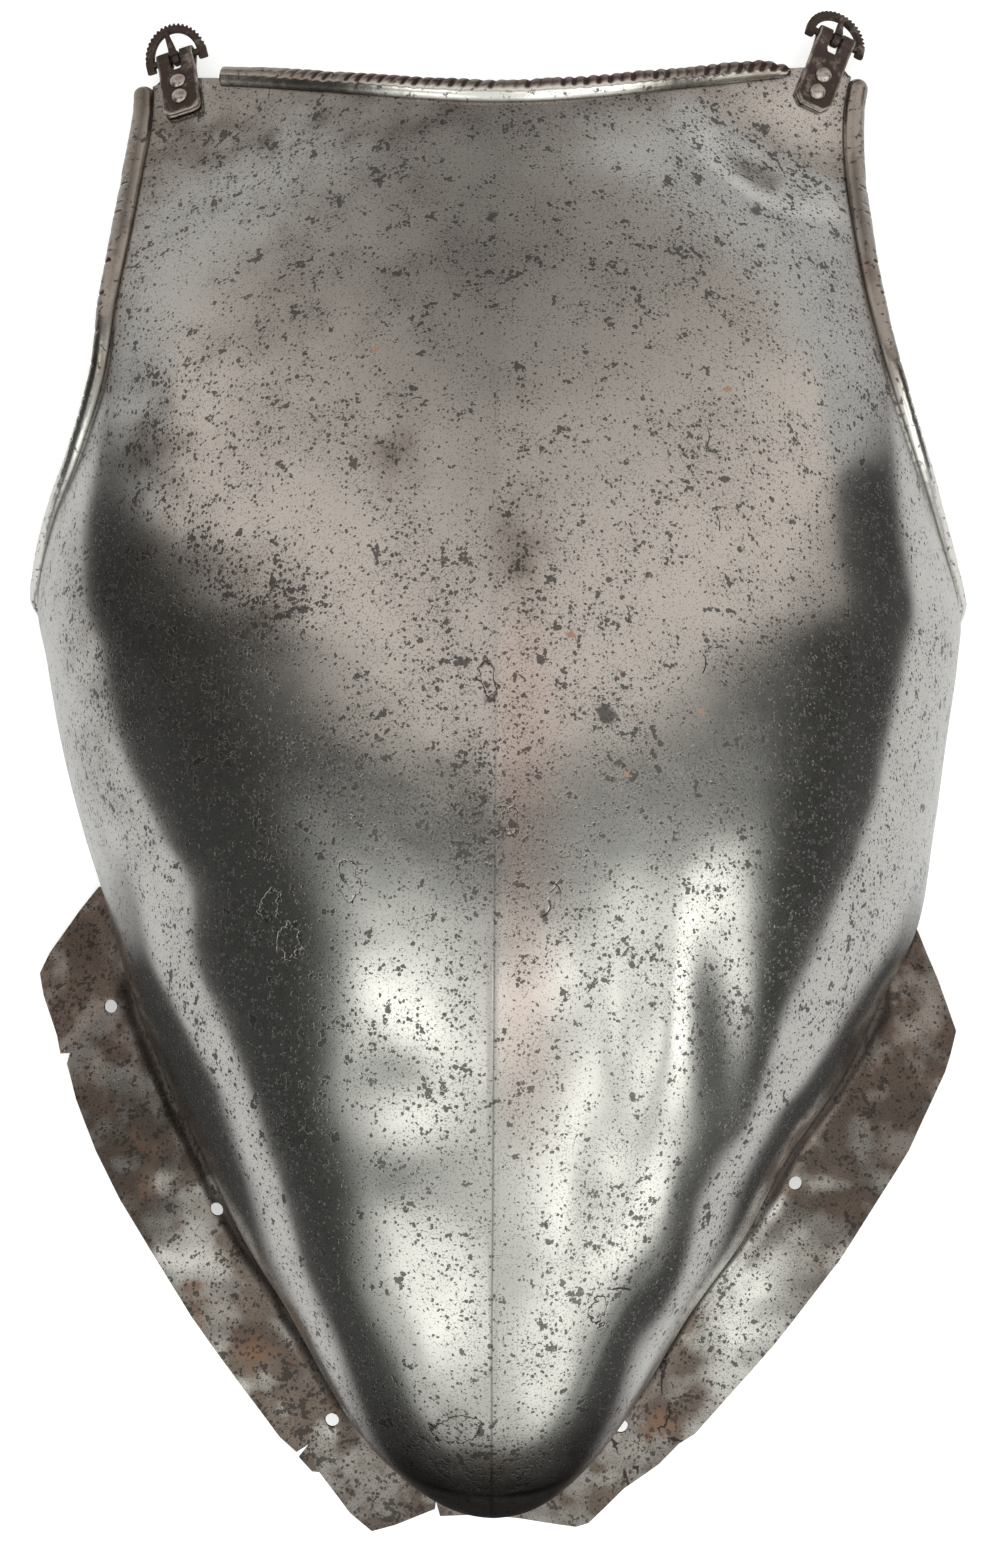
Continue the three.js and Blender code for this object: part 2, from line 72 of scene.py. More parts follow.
# One row for each station from the neck down to the underside of the point
stations = table("ridgeX ridgeY ridgeZ leftX leftY leftZ rightX rightY rightZ wrap full keen", [
    (-0.3, 218, 66, -116, 232, 22, 117.3, 235.5, 20, 45, 1.7, 0.02),
    (-0.4, 203, 77, -115.8, 219, 33, 114.8, 221, 32, 47, 1.75, 0.02),
    (-0.5, 184, 90.5, -117.9, 201, 44.5, 114.8, 201, 44.5, 50, 1.85, 0.03),
    (-0.6, 162, 103.5, -120.7, 178, 54, 116.5, 178, 54, 55, 1.95, 0.04),
    (-0.8, 139, 115.5, -124.5, 154, 58.5, 120, 154, 58.5, 60, 2.05, 0.06),
    (-1.0, 117, 125.5, -128.5, 130, 58, 126.3, 130, 58, 66, 2.15, 0.08),
    (-1.0, 95, 133.5, -137.5, 106, 49, 135.5, 106, 49, 72, 2.25, 0.09),
    (-1.1, 74, 140.5, -148.8, 84, 30, 145.3, 84, 30, 78, 2.3, 0.1),
    (-1.2, 52, 146.5, -156.6, 61, 6, 155.6, 58, 6, 84, 2.35, 0.11),
    (-1.3, 32, 151, -153.3, 40, 0, 154.9, 40, 0, 87, 2.4, 0.12),
    (-1.5, 6, 155.5, -147.7, 12, 0, 150.2, 10, 0, 88, 2.45, 0.12),
    (-1.7, -20, 158.8, -140.8, -14, 0, 146.1, -18, 0, 88, 2.5, 0.12),
    (-1.8, -43, 160.8, -133.6, -36, 4, 140.3, -50, 5, 87, 2.5, 0.12),
    (-1.9, -69, 161.7, -124, -62, 26, 125.5, -74, 28, 86, 2.5, 0.12),
    (-2.0, -96, 161, -111.5, -90, 40, 110.7, -98, 41, 86, 2.55, 0.12),
    (-2.0, -120, 158.8, -97.2, -118, 49.5, 93.8, -120, 50, 86, 2.6, 0.12),
    (-2.0, -146, 154.5, -83.7, -144, 56, 79.7, -144, 56, 86, 2.6, 0.11),
    (-2.0, -170, 148, -69.2, -166, 60.5, 62.6, -166, 61, 86, 2.6, 0.1),
    (-2.0, -192, 139, -58.2, -184, 63.5, 50.6, -184, 64, 87, 2.55, 0.09),
    (-2.0, -208, 129, -48.7, -198, 66, 40.5, -198, 66.5, 88, 2.5, 0.08),
    (-2.0, -220, 117, -38, -208, 68.5, 31, -208, 68.5, 89, 2.45, 0.06),
    (-2.0, -228, 104, -26.5, -214, 70, 21, -214, 70, 90, 2.4, 0.05),
    (-2.0, -228.5, 88, -14, -217, 71, 10, -217, 71, 90, 2.3, 0.04),
    (-2.0, -218, 71.5, -2, -218, 71.5, -2, -218, 71.5, 90, 2.2, 0),
])
armpitStation, earStation, lastStation = 8, 12, 23
neckBlend = 4                                          # stations that share the neck's curve in plan

# Outer edge of the waist flange at each station from the ear to the middle
flangeRim = table("leftX leftY leftZ rightX rightY rightZ", [
    (-138, -36.6, 4, 145, -50.6, 4),
    (-156, -66, 10.5, 152, -79, 14),
    (-146, -91, 23, 149.5, -97, 21),
    (-134, -121, 33.5, 135, -123, 32.5),
    (-122, -142, 40, 119, -146, 41.5),
    (-109, -162, 46, 104, -166, 47),
    (-95, -181, 50.5, 88, -185, 52),
    (-80, -201, 54.5, 72, -203, 56),
    (-64, -220, 58, 56, -217, 59),
    (-43, -241, 61, 31, -239, 62),
    (-20, -237, 63, 15, -239, 63),
    (-2, -237, 63.5, -2, -237, 63.5),
])

# The flange as cut and as later broken, from the left ear to the right ear
flangeOutline = [
    (-135.2, -34.5), (-142.8, -44.2), (-152.2, -58.1), (-155.3, -65), (-153.5, -72.2),
    (-148, -85.4), (-146.5, -91), (-143.3, -90.8), (-144.2, -94.3), (-140.7, -105.9),
    (-133.6, -122.2), (-124.8, -138.1), (-113.3, -155.4), (-100.8, -174.3), (-90.1, -188.4),
    (-71.2, -212.5), (-65.8, -217), (-61.4, -214.1), (-65, -218.6), (-60.7, -223.1),
    (-58.3, -223.3), (-48.4, -236.1), (-41.3, -241.9), (-33.9, -239.7), (-20.9, -234.3),
    (-20.6, -231.8), (-19.3, -236.6), (-6, -236), (5.5, -237.2), (24.4, -240.2),
    (28.5, -239), (40, -228), (51.2, -220.5), (57.7, -214.1), (62.9, -211.2),
    (89.1, -183.3), (110.6, -157.5), (135.2, -122.4), (148.7, -97.3), (153, -84),
    (147.7, -67), (141.4, -49.8),
]
lacingHoles = [(-129.8, -75.3), (-92.4, -139.9), (-54.2, -206.4), (96.7, -131.8), (39, -207.9)]

# Each buckle's seat on the shoulder, with the leaf's way in plan and its sizes from the bar
buckles = [
    {"side": "left", "x": -107.6, "y": 240.6, "z": 21.5, "riseX": 0.36, "riseY": -0.5,
     "alongX": -0.13, "alongY": 0.85, "length": 23.6, "upper": 10.8, "lower": 17.4,
     "lift": 20, "skew": 7, "corner": "round"},
    {"side": "right", "x": 111.5, "y": 247.0, "z": 22.0, "riseX": -0.28, "riseY": -0.15,
     "alongX": 0.34, "alongY": 0.93, "length": 25.6, "upper": 14, "lower": 20.4,
     "lift": -20, "skew": 0, "corner": "clipped"},
]
seatFlat, seatBlend, seatDrop, seatFade = 15, 42, 15, 95


# From a at 0 to b at 1, in a straight line
def mix(a, b, t):
    return a + (b - a) * t


# 0 below 0, 1 above 1 and 3t2 - 2t3 between
def smooth(t):
    c = np.clip(t, 0, 1)
    return c * c * (3 - 2 * c)


# Vectors divided by their lengths
def unit(vectors):
    return vectors / np.maximum(np.linalg.norm(vectors, axis=-1, keepdims=True), 1e-12)


# A column's value between its rows: the Catmull-Rom cubic of the four nearest rows
def along(rows, column, place):
    values = rows[column]
    i = np.minimum(np.floor(place).astype(int), len(values) - 2)
    t = place - i
    a, b, c, d = (values[np.clip(i + k, 0, len(values) - 1)] for k in (-1, 0, 1, 2))
    return 0.5 * (2 * b + (c - a) * t + (2 * a - 5 * b + 4 * c - d) * t**2
                  + (3 * b - a - 3 * c + d) * t**3)


# A left or right column's value between its rows, as left asks
def eitherSide(rows, axis, left, place):
    return np.where(left, along(rows, "left" + axis, place), along(rows, "right" + axis, place))


# Outer face in plan millimetres. Each half of a section is a stretch of a squared oval, up being the
# cosine and out the sine of the angle raised to 2 / full, with a tent of height keen laid over it.
def bodyPoint(across, place):
    left = across < 0
    turn, power = np.radians(along(stations, "wrap", place)), 2 / along(stations, "full", place)

    def oval(angle):
        return np.sin(angle) ** power, np.maximum(np.cos(angle), 0) ** power

    endOut, endUp = oval(turn)
    out, up = oval(np.abs(across) * turn)
    reach = out / endOut
    height = mix((up - endUp) / (1 - endUp), 1 - reach, along(stations, "keen", place))
    forward = mix(height, 1 - smooth(reach), np.maximum(0, 1 - place / neckBlend))
    x = mix(along(stations, "ridgeX", place), eitherSide(stations, "X", left, place), reach)
    y = mix(eitherSide(stations, "Y", left, place), along(stations, "ridgeY", place), forward)
    z = np.maximum(0, mix(eitherSide(stations, "Z", left, place), along(stations, "ridgeZ", place), height))
    return seated(np.stack([x, y, z], -1))


# Flattens the shoulders: z is lowered to each buckle's seat plane round its leaf. Farther out the drop
# is held to seatDrop and fades away over seatFade.
def seated(points):
    x, y, z = np.moveaxis(points, -1, 0)
    for seat in buckles:
        dx, dy = x - seat["x"], y - seat["y"]
        half = seat["length"] / 2
        distance = np.hypot(dx + seat["alongX"] * half, dy + seat["alongY"] * half)
        excess = z - (seat["z"] + seat["riseX"] * dx + seat["riseY"] * dy)
        held = seatDrop * np.tanh(excess / seatDrop) * (1 - smooth((distance - seatFlat) / seatFade))
        z = z - mix(held, excess, 1 - smooth((distance - seatFlat) / seatBlend))
    return np.stack([x, y, z], -1)


# Waist flange: a straight line from the wall's foot to past the rim, dropped below it by a step whose
# near side is a parabola filletWidth wide
def flangePoint(left, place, width):
    foot = bodyPoint(np.where(left, -1.0, 1.0), place)
    rim = np.stack([eitherSide(flangeRim, axis, left, place - earStation) for axis in "XYZ"], -1)
    outward = (rim - foot) * [1, 1, 0]
    span = np.linalg.norm(outward, axis=-1, keepdims=True)
    drop = np.minimum(plate["filletRise"], np.maximum(0, foot[..., 2] - rim[..., 2]) * 0.9)
    rim = rim + outward / span * plate["flangeOverhang"]
    point = mix(foot, rim, width[..., None])
    run = width * (span[..., 0] + plate["flangeOverhang"])
    hollow = np.maximum(0, 1 - run / plate["filletWidth"]) ** 2
    point[..., 2] = mix(foot[..., 2] - drop, rim[..., 2], width) + drop * hollow
    return point


# Smooth random field from -1 to 1: a lattice of random values cell apart, blended by 3t2 - 2t3
def softNoise(x, y, cell, seed):
    size = 64
    lattice = np.random.default_rng(seed).uniform(-1, 1, (size, size))
    u, v = x / cell + 500.0, y / cell + 500.0
    i, j = np.floor(u).astype(int), np.floor(v).astype(int)
    s, t = smooth(u - i), smooth(v - j)
    a, b, c, d = (lattice[(i + m) % size, (j + n) % size] for n in (0, 1) for m in (0, 1))
    return mix(mix(a, b, s), mix(c, d, s), t)


# Shallow dents and swellings of the belly: plan place, half width each way and height
hammerMarks = table("x y wide long rise", [
    (52, -62, 8, 30, 0.9), (38, -72, 6.5, 32, -0.7), (68, -78, 8, 30, -0.7), (-40, -56, 15, 20, 0.5),
    (-30, -92, 14, 12, -0.7), (-36, -122, 14, 14, 0.6), (-20, -150, 9, 16, -0.4), (48, -118, 11, 20, 0.7),
    (30, -122, 7, 24, -0.55), (44, -158, 8, 20, -0.6), (24, -172, 8, 14, 0.45), (-24, -172, 8, 20, 0.5),
    (60, -20, 14, 16, 0.35), (-58, -20, 16, 18, -0.35),
])
# Random unevenness of the body, and what the thin flange has on top of it: height, cell and seed
bodyUneven = [(0.16, 46, 3), (0.07, 21, 4), (0.03, 9, 5)]
flangeUneven = [(0.5, 19, 6), (0.28, 8, 7)]

# The right ear's upper corner stands above a step, and a ridge crosses the left ear: two points of each
# line in plan, height, and width of the rise. The ears lie farther out than earsFrom.
earStep = {"start": (124, -65.4), "end": (148, -93.5), "rise": 1.5, "width": 2.2}
earRidge = {"start": (-146, -91), "end": (-118, -60), "rise": 1.5, "width": 5}
earsFrom = 110


# The rows of a table again, each as a dictionary
def eachRow(columns):
    return [dict(zip(columns, row)) for row in zip(*columns.values())]


# Bell over a mark: 1 at its middle, 1/e at its half widths
def bell(x, y, mark):
    return np.exp(-((x - mark["x"]) / mark["wide"]) ** 2 - ((y - mark["y"]) / mark["long"]) ** 2)


# Distance of plan points to the left of the line from start to end
def leftOf(x, y, line):
    way = unit(np.subtract(line["end"], line["start"]).astype(float))
    return way[0] * (y - line["start"][1]) - way[1] * (x - line["start"][0])


# Height off the true form: the sum of the marks' bells and of the sizes of random unevenness
def hammered(x, y, flange):
    rise, loose = (sum(height * softNoise(x, y, cell, seed) for height, cell, seed in sizes)
                   for sizes in (bodyUneven, flangeUneven))
    loose = loose + earStep["rise"] * smooth(0.5 + leftOf(x, y, earStep) / earStep["width"]) * (x > earsFrom)
    ridge = np.exp(-(leftOf(x, y, earRidge) / earRidge["width"]) ** 2)
    loose = loose + earRidge["rise"] * ridge * (x < -earsFrom)
    rise = rise + loose * flange
    for mark in eachRow(hammerMarks):
        rise = rise + mark["rise"] * bell(x, y, mark)
    return rise


# Quads of a grid of point numbers, with the collapsed ones as triangles
def patchFaces(grid):
    a, b, c, d = (part.ravel() for part in (grid[:-1, :-1], grid[:-1, 1:], grid[1:, 1:], grid[1:, :-1]))
    whole = (c != d) & (a != b) & (a != d) & (b != c)
    quads = np.stack([a, d, c, b], -1)[whole]
    low = (c == d) & (a != b)
    side = (a == d) & (b != c)
    far = (b == c) & (a != d)
    triangles = np.concatenate([
        np.stack([a, d, b], -1)[low], np.stack([a, c, b], -1)[side], np.stack([a, d, c], -1)[far],
    ])
    return quads.tolist() + triangles.tolist()


# Averages of the face normals round each point
def pointNormals(points, faces):
    corners = np.array([face[:3] + face[-1:] for face in faces])
    a, b, c, d = points[corners.T]
    crossed = np.cross(c - a, d - b)
    normals = np.zeros_like(points)
    for k in range(4):
        np.add.at(normals, corners[:, k], crossed)
    return unit(normals)


# One face of the sheet: the body's grid of across and place, the flange's of width along its foot,
# and the loop of point numbers round the border
def makeSheet(rows, columns, cells):
    place = np.linspace(0, lastStation, rows + 1)
    even = np.linspace(-1, 1, columns + 1)
    # closer at the ridge and the edges
    across = even - plate["crowding"] * np.sin(2 * math.pi * even) / (2 * math.pi)
    grid = np.arange(rows * (columns + 1)).reshape(rows, columns + 1)
    body = bodyPoint(*np.meshgrid(across, place[:-1])[:2]).reshape(-1, 3)
    pole = len(body)
    tip = bodyPoint(np.zeros(1), np.array([float(lastStation)]))
    grid = np.vstack([grid, np.full(columns + 1, pole)])

    earRow = round(earStation / lastStation * rows)
    leftRows, rightRows = np.arange(earRow, rows + 1), np.arange(rows - 1, earRow - 1, -1)
    foot = np.concatenate([grid[leftRows, 0], grid[rightRows, -1]])
    stopPlace = np.concatenate([place[leftRows], place[rightRows]])
    stopLeft = np.arange(len(foot)) < len(leftRows)
    width = (np.arange(1, cells + 1) / cells)[:, None] ** plate["flangeCrowding"]
    flange = flangePoint(*np.broadcast_arrays(stopLeft[None], stopPlace[None], width)).reshape(-1, 3)
    flangeGrid = pole + 1 + np.arange(len(flange)).reshape(cells, len(foot))
    points = np.concatenate([body, tip, flange])
    points[:, 2] = np.maximum(points[:, 2], 0)
    faces = patchFaces(grid) + patchFaces(np.vstack([foot, flangeGrid]))

    border = np.concatenate([
        grid[0], grid[1:earRow + 1, -1], flangeGrid[:, -1], flangeGrid[-1, -2::-1], flangeGrid[-2::-1, 0],
        grid[earRow:0:-1, 0],
    ])
    offBody = np.full(2 * cells + len(foot) - 2, -1.0)
    sidePlace = np.concatenate([np.zeros(columns + 1), place[1:earRow + 1], offBody, place[earRow:0:-1]])
    level = (sidePlace > armpitStation + 0.4) & (sidePlace < earStation - 0.4)
    isNeck = np.arange(len(border)) <= columns
    return points, faces, border, level, isNeck, pole + 1


# 1 where the neck's roll hides the cut edge and 0 under the buckles
def neckRollShare(x):
    return smooth((x + 92.5) / 3) * (1 - smooth((x - 90) / 7))


# The shell: a fine outer face, an inner one thickness below it with half as many cells each way, and
# a rounded edge between their borders. Both are raised along their normals by hammered.
def makeShell():
    rows, columns, cells = plate["rows"], plate["columns"], plate["flangeCells"]
    thickness = plate["thickness"]
    outer, outerFaces, border, level, isNeck, firstFlange = makeSheet(rows, columns, cells)
    normals = pointNormals(outer, outerFaces)
    flange = np.zeros(len(outer))
    fadeIn = smooth(np.arange(1, cells + 1) / 5)
    flange[firstFlange:] = np.repeat(fadeIn, (len(outer) - firstFlange) // cells)
    lift = hammered(outer[:, 0], outer[:, 1], flange) * smooth(outer[:, 2] / 12)
    shaped = outer + normals * lift[:, None]
    shaped[border] = outer[border]
    coarse, coarseFaces, innerBorder, _, _, coarseFlange = makeSheet(rows // 2, columns // 2, cells // 2)
    coarseNormals = pointNormals(coarse, coarseFaces)
    flange = np.arange(len(coarse)) > coarseFlange
    lift = hammered(coarse[:, 0], coarse[:, 1], flange) * smooth(coarse[:, 2] / 12)
    inner = coarse + coarseNormals * (lift - thickness)[:, None]
    inner[innerBorder] = (coarse - coarseNormals * thickness)[innerBorder]
    inner[innerBorder[level[::2]], 2] = outer[border[level], 2].min()

    count, first = len(border), len(outer)
    outward = unit(np.cross(normals[border], np.roll(outer[border], -1, 0) - np.roll(outer[border], 1, 0)))
    fromCorner = np.minimum(np.arange(count), columns - np.arange(count)) / plate["apronTaper"]
    apron = plate["apron"] * (1 - neckRollShare(outer[border, 0])) * isNeck * smooth(fromCorner)
    bulge = plate["edgeRound"] * ~level
    upper = outer[border] + outward * (apron + bulge)[:, None] - normals[border] * (0.25 * thickness)
    lower = upper - normals[border] * (0.5 * thickness)
    upper[:, 2], lower[:, 2] = np.maximum(upper[:, 2], 0), np.maximum(lower[:, 2], 0)
    points = np.concatenate([shaped, upper, lower, inner])

    def strip(top, bottom):
        return np.stack([top, np.roll(top, -1), np.roll(bottom, -1), bottom], -1).tolist()

    ringA, ringB = first + np.arange(count), first + count + np.arange(count)
    base = first + 2 * count
    innerLoop = base + innerBorder
    here, middle, after = ringB[::2], ringB[1::2], np.roll(ringB[::2], -1)
    innerNext = np.roll(innerLoop, -1)
    fan = np.concatenate([
        np.stack([here, middle, innerLoop], -1), np.stack([middle, innerNext, innerLoop], -1),
        np.stack([middle, after, innerNext], -1),
    ]).tolist()
    flipped = [[base + i for i in reversed(face)] for face in coarseFaces]
    faces = outerFaces + strip(border, ringA) + strip(ringA, ringB) + fan + flipped
    return points, faces, len(faces) - len(flipped)


# Mesh object from plan points, moved to the frame and put in metres
def makePiece(name, points, faces):
    mesh = bpy.data.meshes.new(name)
    mesh.from_pydata(((points + planToFrame) * mm).tolist(), [], faces)
    mesh.validate()
    piece = bpy.data.objects.new(name, mesh)
    bpy.context.scene.collection.objects.link(piece)
    return piece


# The same with a closed skin's faces turned outwards
def makeSolid(name, points, faces):
    piece = makePiece(name, points, faces)
    work = bmesh.new()
    work.from_mesh(piece.data)
    bmesh.ops.recalc_face_normals(work, faces=work.faces)
    work.to_mesh(piece.data)
    work.free()
    return piece


# Plan points of a mesh
def meshPoints(piece):
    flat = np.empty(len(piece.data.vertices) * 3)
    piece.data.vertices.foreach_get("co", flat)
    return flat.reshape(-1, 3) / mm - planToFrame


# A prism on a closed plan outline: bottom and top copies joined by quads
def prismOn(outline, low, high):
    flat = np.array(outline, float)
    count = len(flat)
    points = np.concatenate([np.column_stack([flat, np.full(count, z)]) for z in (low, high)])
    i = np.arange(count)
    j = (i + 1) % count
    sides = np.stack([i, j, j + count, i + count], -1).tolist()
    return points, sides + [i[::-1].tolist(), (i + count).tolist()]


# Cuts, trims or joins a piece by others, and keeps the result as its mesh
def cutBy(piece, cutters, operation):
    for cutter in cutters:
        step = piece.modifiers.new("cut", "BOOLEAN")
        step.object, step.operation, step.solver = cutter, operation, "MANIFOLD"
    graph = bpy.context.evaluated_depsgraph_get()
    old = piece.data
    piece.data = bpy.data.meshes.new_from_object(piece.evaluated_get(graph))
    piece.modifiers.clear()
    bpy.data.meshes.remove(old)
    for cutter in cutters:
        bpy.data.objects.remove(cutter)


# Gives a piece these materials and no others
def coat(piece, *materials):
    piece.data.materials.clear()
    for material in materials:
        piece.data.materials.append(material)


# Smooth shading, but for edges sharper than degrees
def shade(piece, degrees):
    piece.data.shade_smooth()
    piece.data.set_sharp_from_angle(angle=math.radians(degrees))


# The body that a piece rides on and the solids that it stands for
def finishPiece(piece, body, nodes):
    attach(piece, body)
    if nodes:
        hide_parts(*nodes)


# Stores a number for each point, which the materials read
def keepAttribute(piece, name, values):
    attribute = piece.data.attributes.new(name, "FLOAT", "POINT")
    attribute.data.foreach_set("value", np.asarray(values, np.float32))


# Where the plate has aged: plan place, half width each way, and how much brown stain, pitting and rust.
# Below 0 the place is lighter than the rest: clean steel as a painted highlight on the flange and the ears.
agedAndHighlightPlaces = table("x y wide long stain pits rust", [
    (-30, 97.9, 9, 10, 0.55, 0.3, 0), (-105.9, 103, 13, 12, 0.5, 0.4, 0), (6.4, 68.6, 8, 16, 0.5, 0.2, 0.15),
    (-68, 50, 15, 10, 0.2, 1.5, 0), (-85, 62, 14, 8, 0.1, 0.8, 0), (-9, -5, 7, 34, 0.1, 1.1, 0),
    (30, 15, 12, 12, 0, 0.9, 0.1), (-100, 205, 24, 14, 0.4, 0.7, 0), (-48, 212, 60, 10, 0.45, 0.4, 0),
    (-60, 170, 60, 60, 0.22, 0.25, 0), (60, 170, 60, 60, 0, 0.3, 0), (-120, 60, 20, 60, 0.35, 0.4, 0),
    (-80, 20, 30, 50, 0.2, 0.2, 0.1), (5, 20, 60, 40, 0, 0.3, 0), (60, -60, 30, 60, 0, 0.2, 0),
    (-50, -60, 30, 60, 0, 0.2, 0), (0, -205, 40, 20, 0.5, 0.6, 0.1), (95, 190, 14, 30, 0.1, 0.5, 0),
    (52, -208, 12, 10, 0.5, 0.6, 0.45), (-30, -232, 16, 10, 0.4, 0.7, 0.3),
    (-55, -205, 10, 14, 0.2, 0.7, 0.3), (-118, -121.6, 14, 22, 0.3, 0.6, 0.45),
    (-97.6, -172.7, 14, 18, 0.3, 0.7, 0.5), (-140, -72, 14, 22, 0.6, 0.5, 0),
    (130, -100, 18, 30, 0.35, 0.2, 0), (74.3, -178.3, 12, 12, 0, 0.4, 0.1),
    (-75, -185, 12, 16, 0.2, 0.6, 0.4), (78, -172, 18, 28, -1.2, -0.3, 0), (98, -150, 14, 16, -0.4, 0, 0),
    (-122, -110, 9, 20, -0.4, 0, 0), (-106, -152, 9, 20, -0.45, 0, 0), (-38, -228, 20, 14, 0.7, 0.3, 0),
    (42, -226, 24, 16, 0.8, 0.4, 0), (-84, -184, 9, 16, -0.35, 0, 0), (144, -72, 12, 10, -0.45, 0, 0),
])


# Plan distance from each point to a line of points: the least over its stretches
def distanceTo(flat, line):
    least = np.full(len(flat), 1e9)
    for start, end in zip(line[:-1], line[1:]):
        way = end - start
        share = np.clip(((flat - start) @ way) / max(way @ way, 1e-9), 0, 1)
        least = np.minimum(least, np.linalg.norm(flat - start - share[:, None] * way, axis=1))
    return least


# Whether each point lies inside a closed plan outline: its ray along +x crosses it an odd number of times
def isInside(flat, outline):
    x, y = flat.T
    inside = np.zeros(len(flat), bool)
    for start, end in zip(outline, np.roll(outline, -1, 0)):
        spans = (start[1] > y) != (end[1] > y)
        crossing = start[0] + (y - start[1]) / (end[1] - start[1] + 1e-12) * (end[0] - start[0])
        inside ^= spans & (x < crossing)
    return inside


# Gives each point its stain, pitting and rust, its painted highlight, its painted shade along the creases
# and beside the waist, and its warm tint, a painted pink reflection, from its place in plan alone
def weather(piece):
    flat = meshPoints(piece)[:, :2]
    x, y = flat.T
    steps = 60
    down, upper = np.linspace(earStation, lastStation, steps), np.linspace(0, earStation, steps)
    ones = np.ones(steps)
    waist = np.concatenate([bodyPoint(-ones, down), bodyPoint(ones, down)[::-1]])[:, :2]
    left, right = (bodyPoint(side * ones, upper)[:, :2] for side in (-1, 1))
    neck = bodyPoint(np.linspace(-0.79, 0.78, steps), 0 * ones)[:, :2]
    flange = ~isInside(flat, np.concatenate([waist, right[::-1], neck[::-1], left])) & (y < -35)
    fromWaist = distanceTo(flat, waist)
    rolled = round(steps * armpitStation / earStation) + 2
    fromRolls = np.minimum.reduce([distanceTo(flat, line) for line in (neck, left[:rolled], right[:rolled])])

    values = {"stain": 1.05 * flange, "pits": 0.3 + 0.35 * flange, "rust": 0.1 * flange}
    for place in eachRow(agedAndHighlightPlaces):
        here = bell(x, y, place)
        for name in values:
            values[name] = values[name] + place[name] * here
    rough = 1 + 0.5 * softNoise(x, y, 7, 31)
    values["stain"] = np.clip(values["stain"] * rough, 0, 1.2)
    # Painted shade: dark lines in the creases against the rolls and the waist, and a dark band on the body
    # along the waist that paints the dark reflected there
    values["linesAndPaintedShade"] = np.clip(0.7 * np.exp(-(fromRolls / 0.7) ** 2) * rough
                             + 0.75 * np.exp(-(fromWaist / 1.2) ** 2) * rough
                             + 0.45 * (1 - smooth((fromWaist - 2) / 7)) * ~flange, 0, 1)
    # Browner within about 9 mm of the waist crease and 6 mm of the rolls
    values["stain"] += 0.35 * np.exp(-(fromWaist / 9) ** 2) + 0.3 * np.exp(-(fromRolls / 6) ** 2)
    # Painted reflection: a pink tint just right of the ridge, on the lower chest and the upper belly
    values["pinkReflection"] = np.exp(-((x - 6) / 11) ** 2) * smooth((x + 2) / 2) * smooth((y + 125) / 50)
    values["pinkReflection"] *= 1 - smooth((y - 20) / 50)
    for name, value in values.items():
        keepAttribute(piece, name, value)


# The plate: the shell, trimmed by a prism on the flange's outline, with the lacing holes cut through
def makeBreastplate(steel, inside):
    points, faces, firstInside = makeShell()
    piece = makePiece("plate", points, faces)
    coat(piece, steel, inside)
    which = np.arange(len(piece.data.polygons)) >= firstInside
    piece.data.polygons.foreach_set("material_index", which.astype(np.int32))
    far, top, bottom = 190, 270, -30
    start, end = flangeOutline[0], flangeOutline[-1]
    outline = [(far, end[1] + 2), (far, top), (-far, top), (-far, start[1] + 2)] + flangeOutline
    cutBy(piece, [makePiece("trim", *prismOn(outline, bottom, 210))], "INTERSECT")
    angle = np.linspace(0, 2 * math.pi, plate["holeSides"], endpoint=False)
    circle = plate["lacingHole"] * np.column_stack([np.cos(angle), np.sin(angle)])
    cutBy(piece, [makePiece("hole", *prismOn(circle + hole, -5, 90)) for hole in lacingHoles], "DIFFERENCE")
    shade(piece, plate["sharpAngle"])
    weather(piece)
    finishPiece(piece, "root", ["breastplate"])
    print("plate", len(piece.data.vertices), "points")


# An output of a shader's node that takes part in sums as a number does
class Wire:
    def __init__(self, finish, socket):
        self.finish = finish
        self.socket = socket

    def __add__(self, other):
        return self.finish.math("ADD", self, other)

    def __sub__(self, other):
        return self.finish.math("SUBTRACT", self, other)

    def __rsub__(self, other):
        return self.finish.math("SUBTRACT", other, self)

    def __mul__(self, other):
        return self.finish.math("MULTIPLY", self, other)

    def __abs__(self):
        return self.finish.math("ABSOLUTE", self)

    __radd__ = __add__
    __rmul__ = __mul__


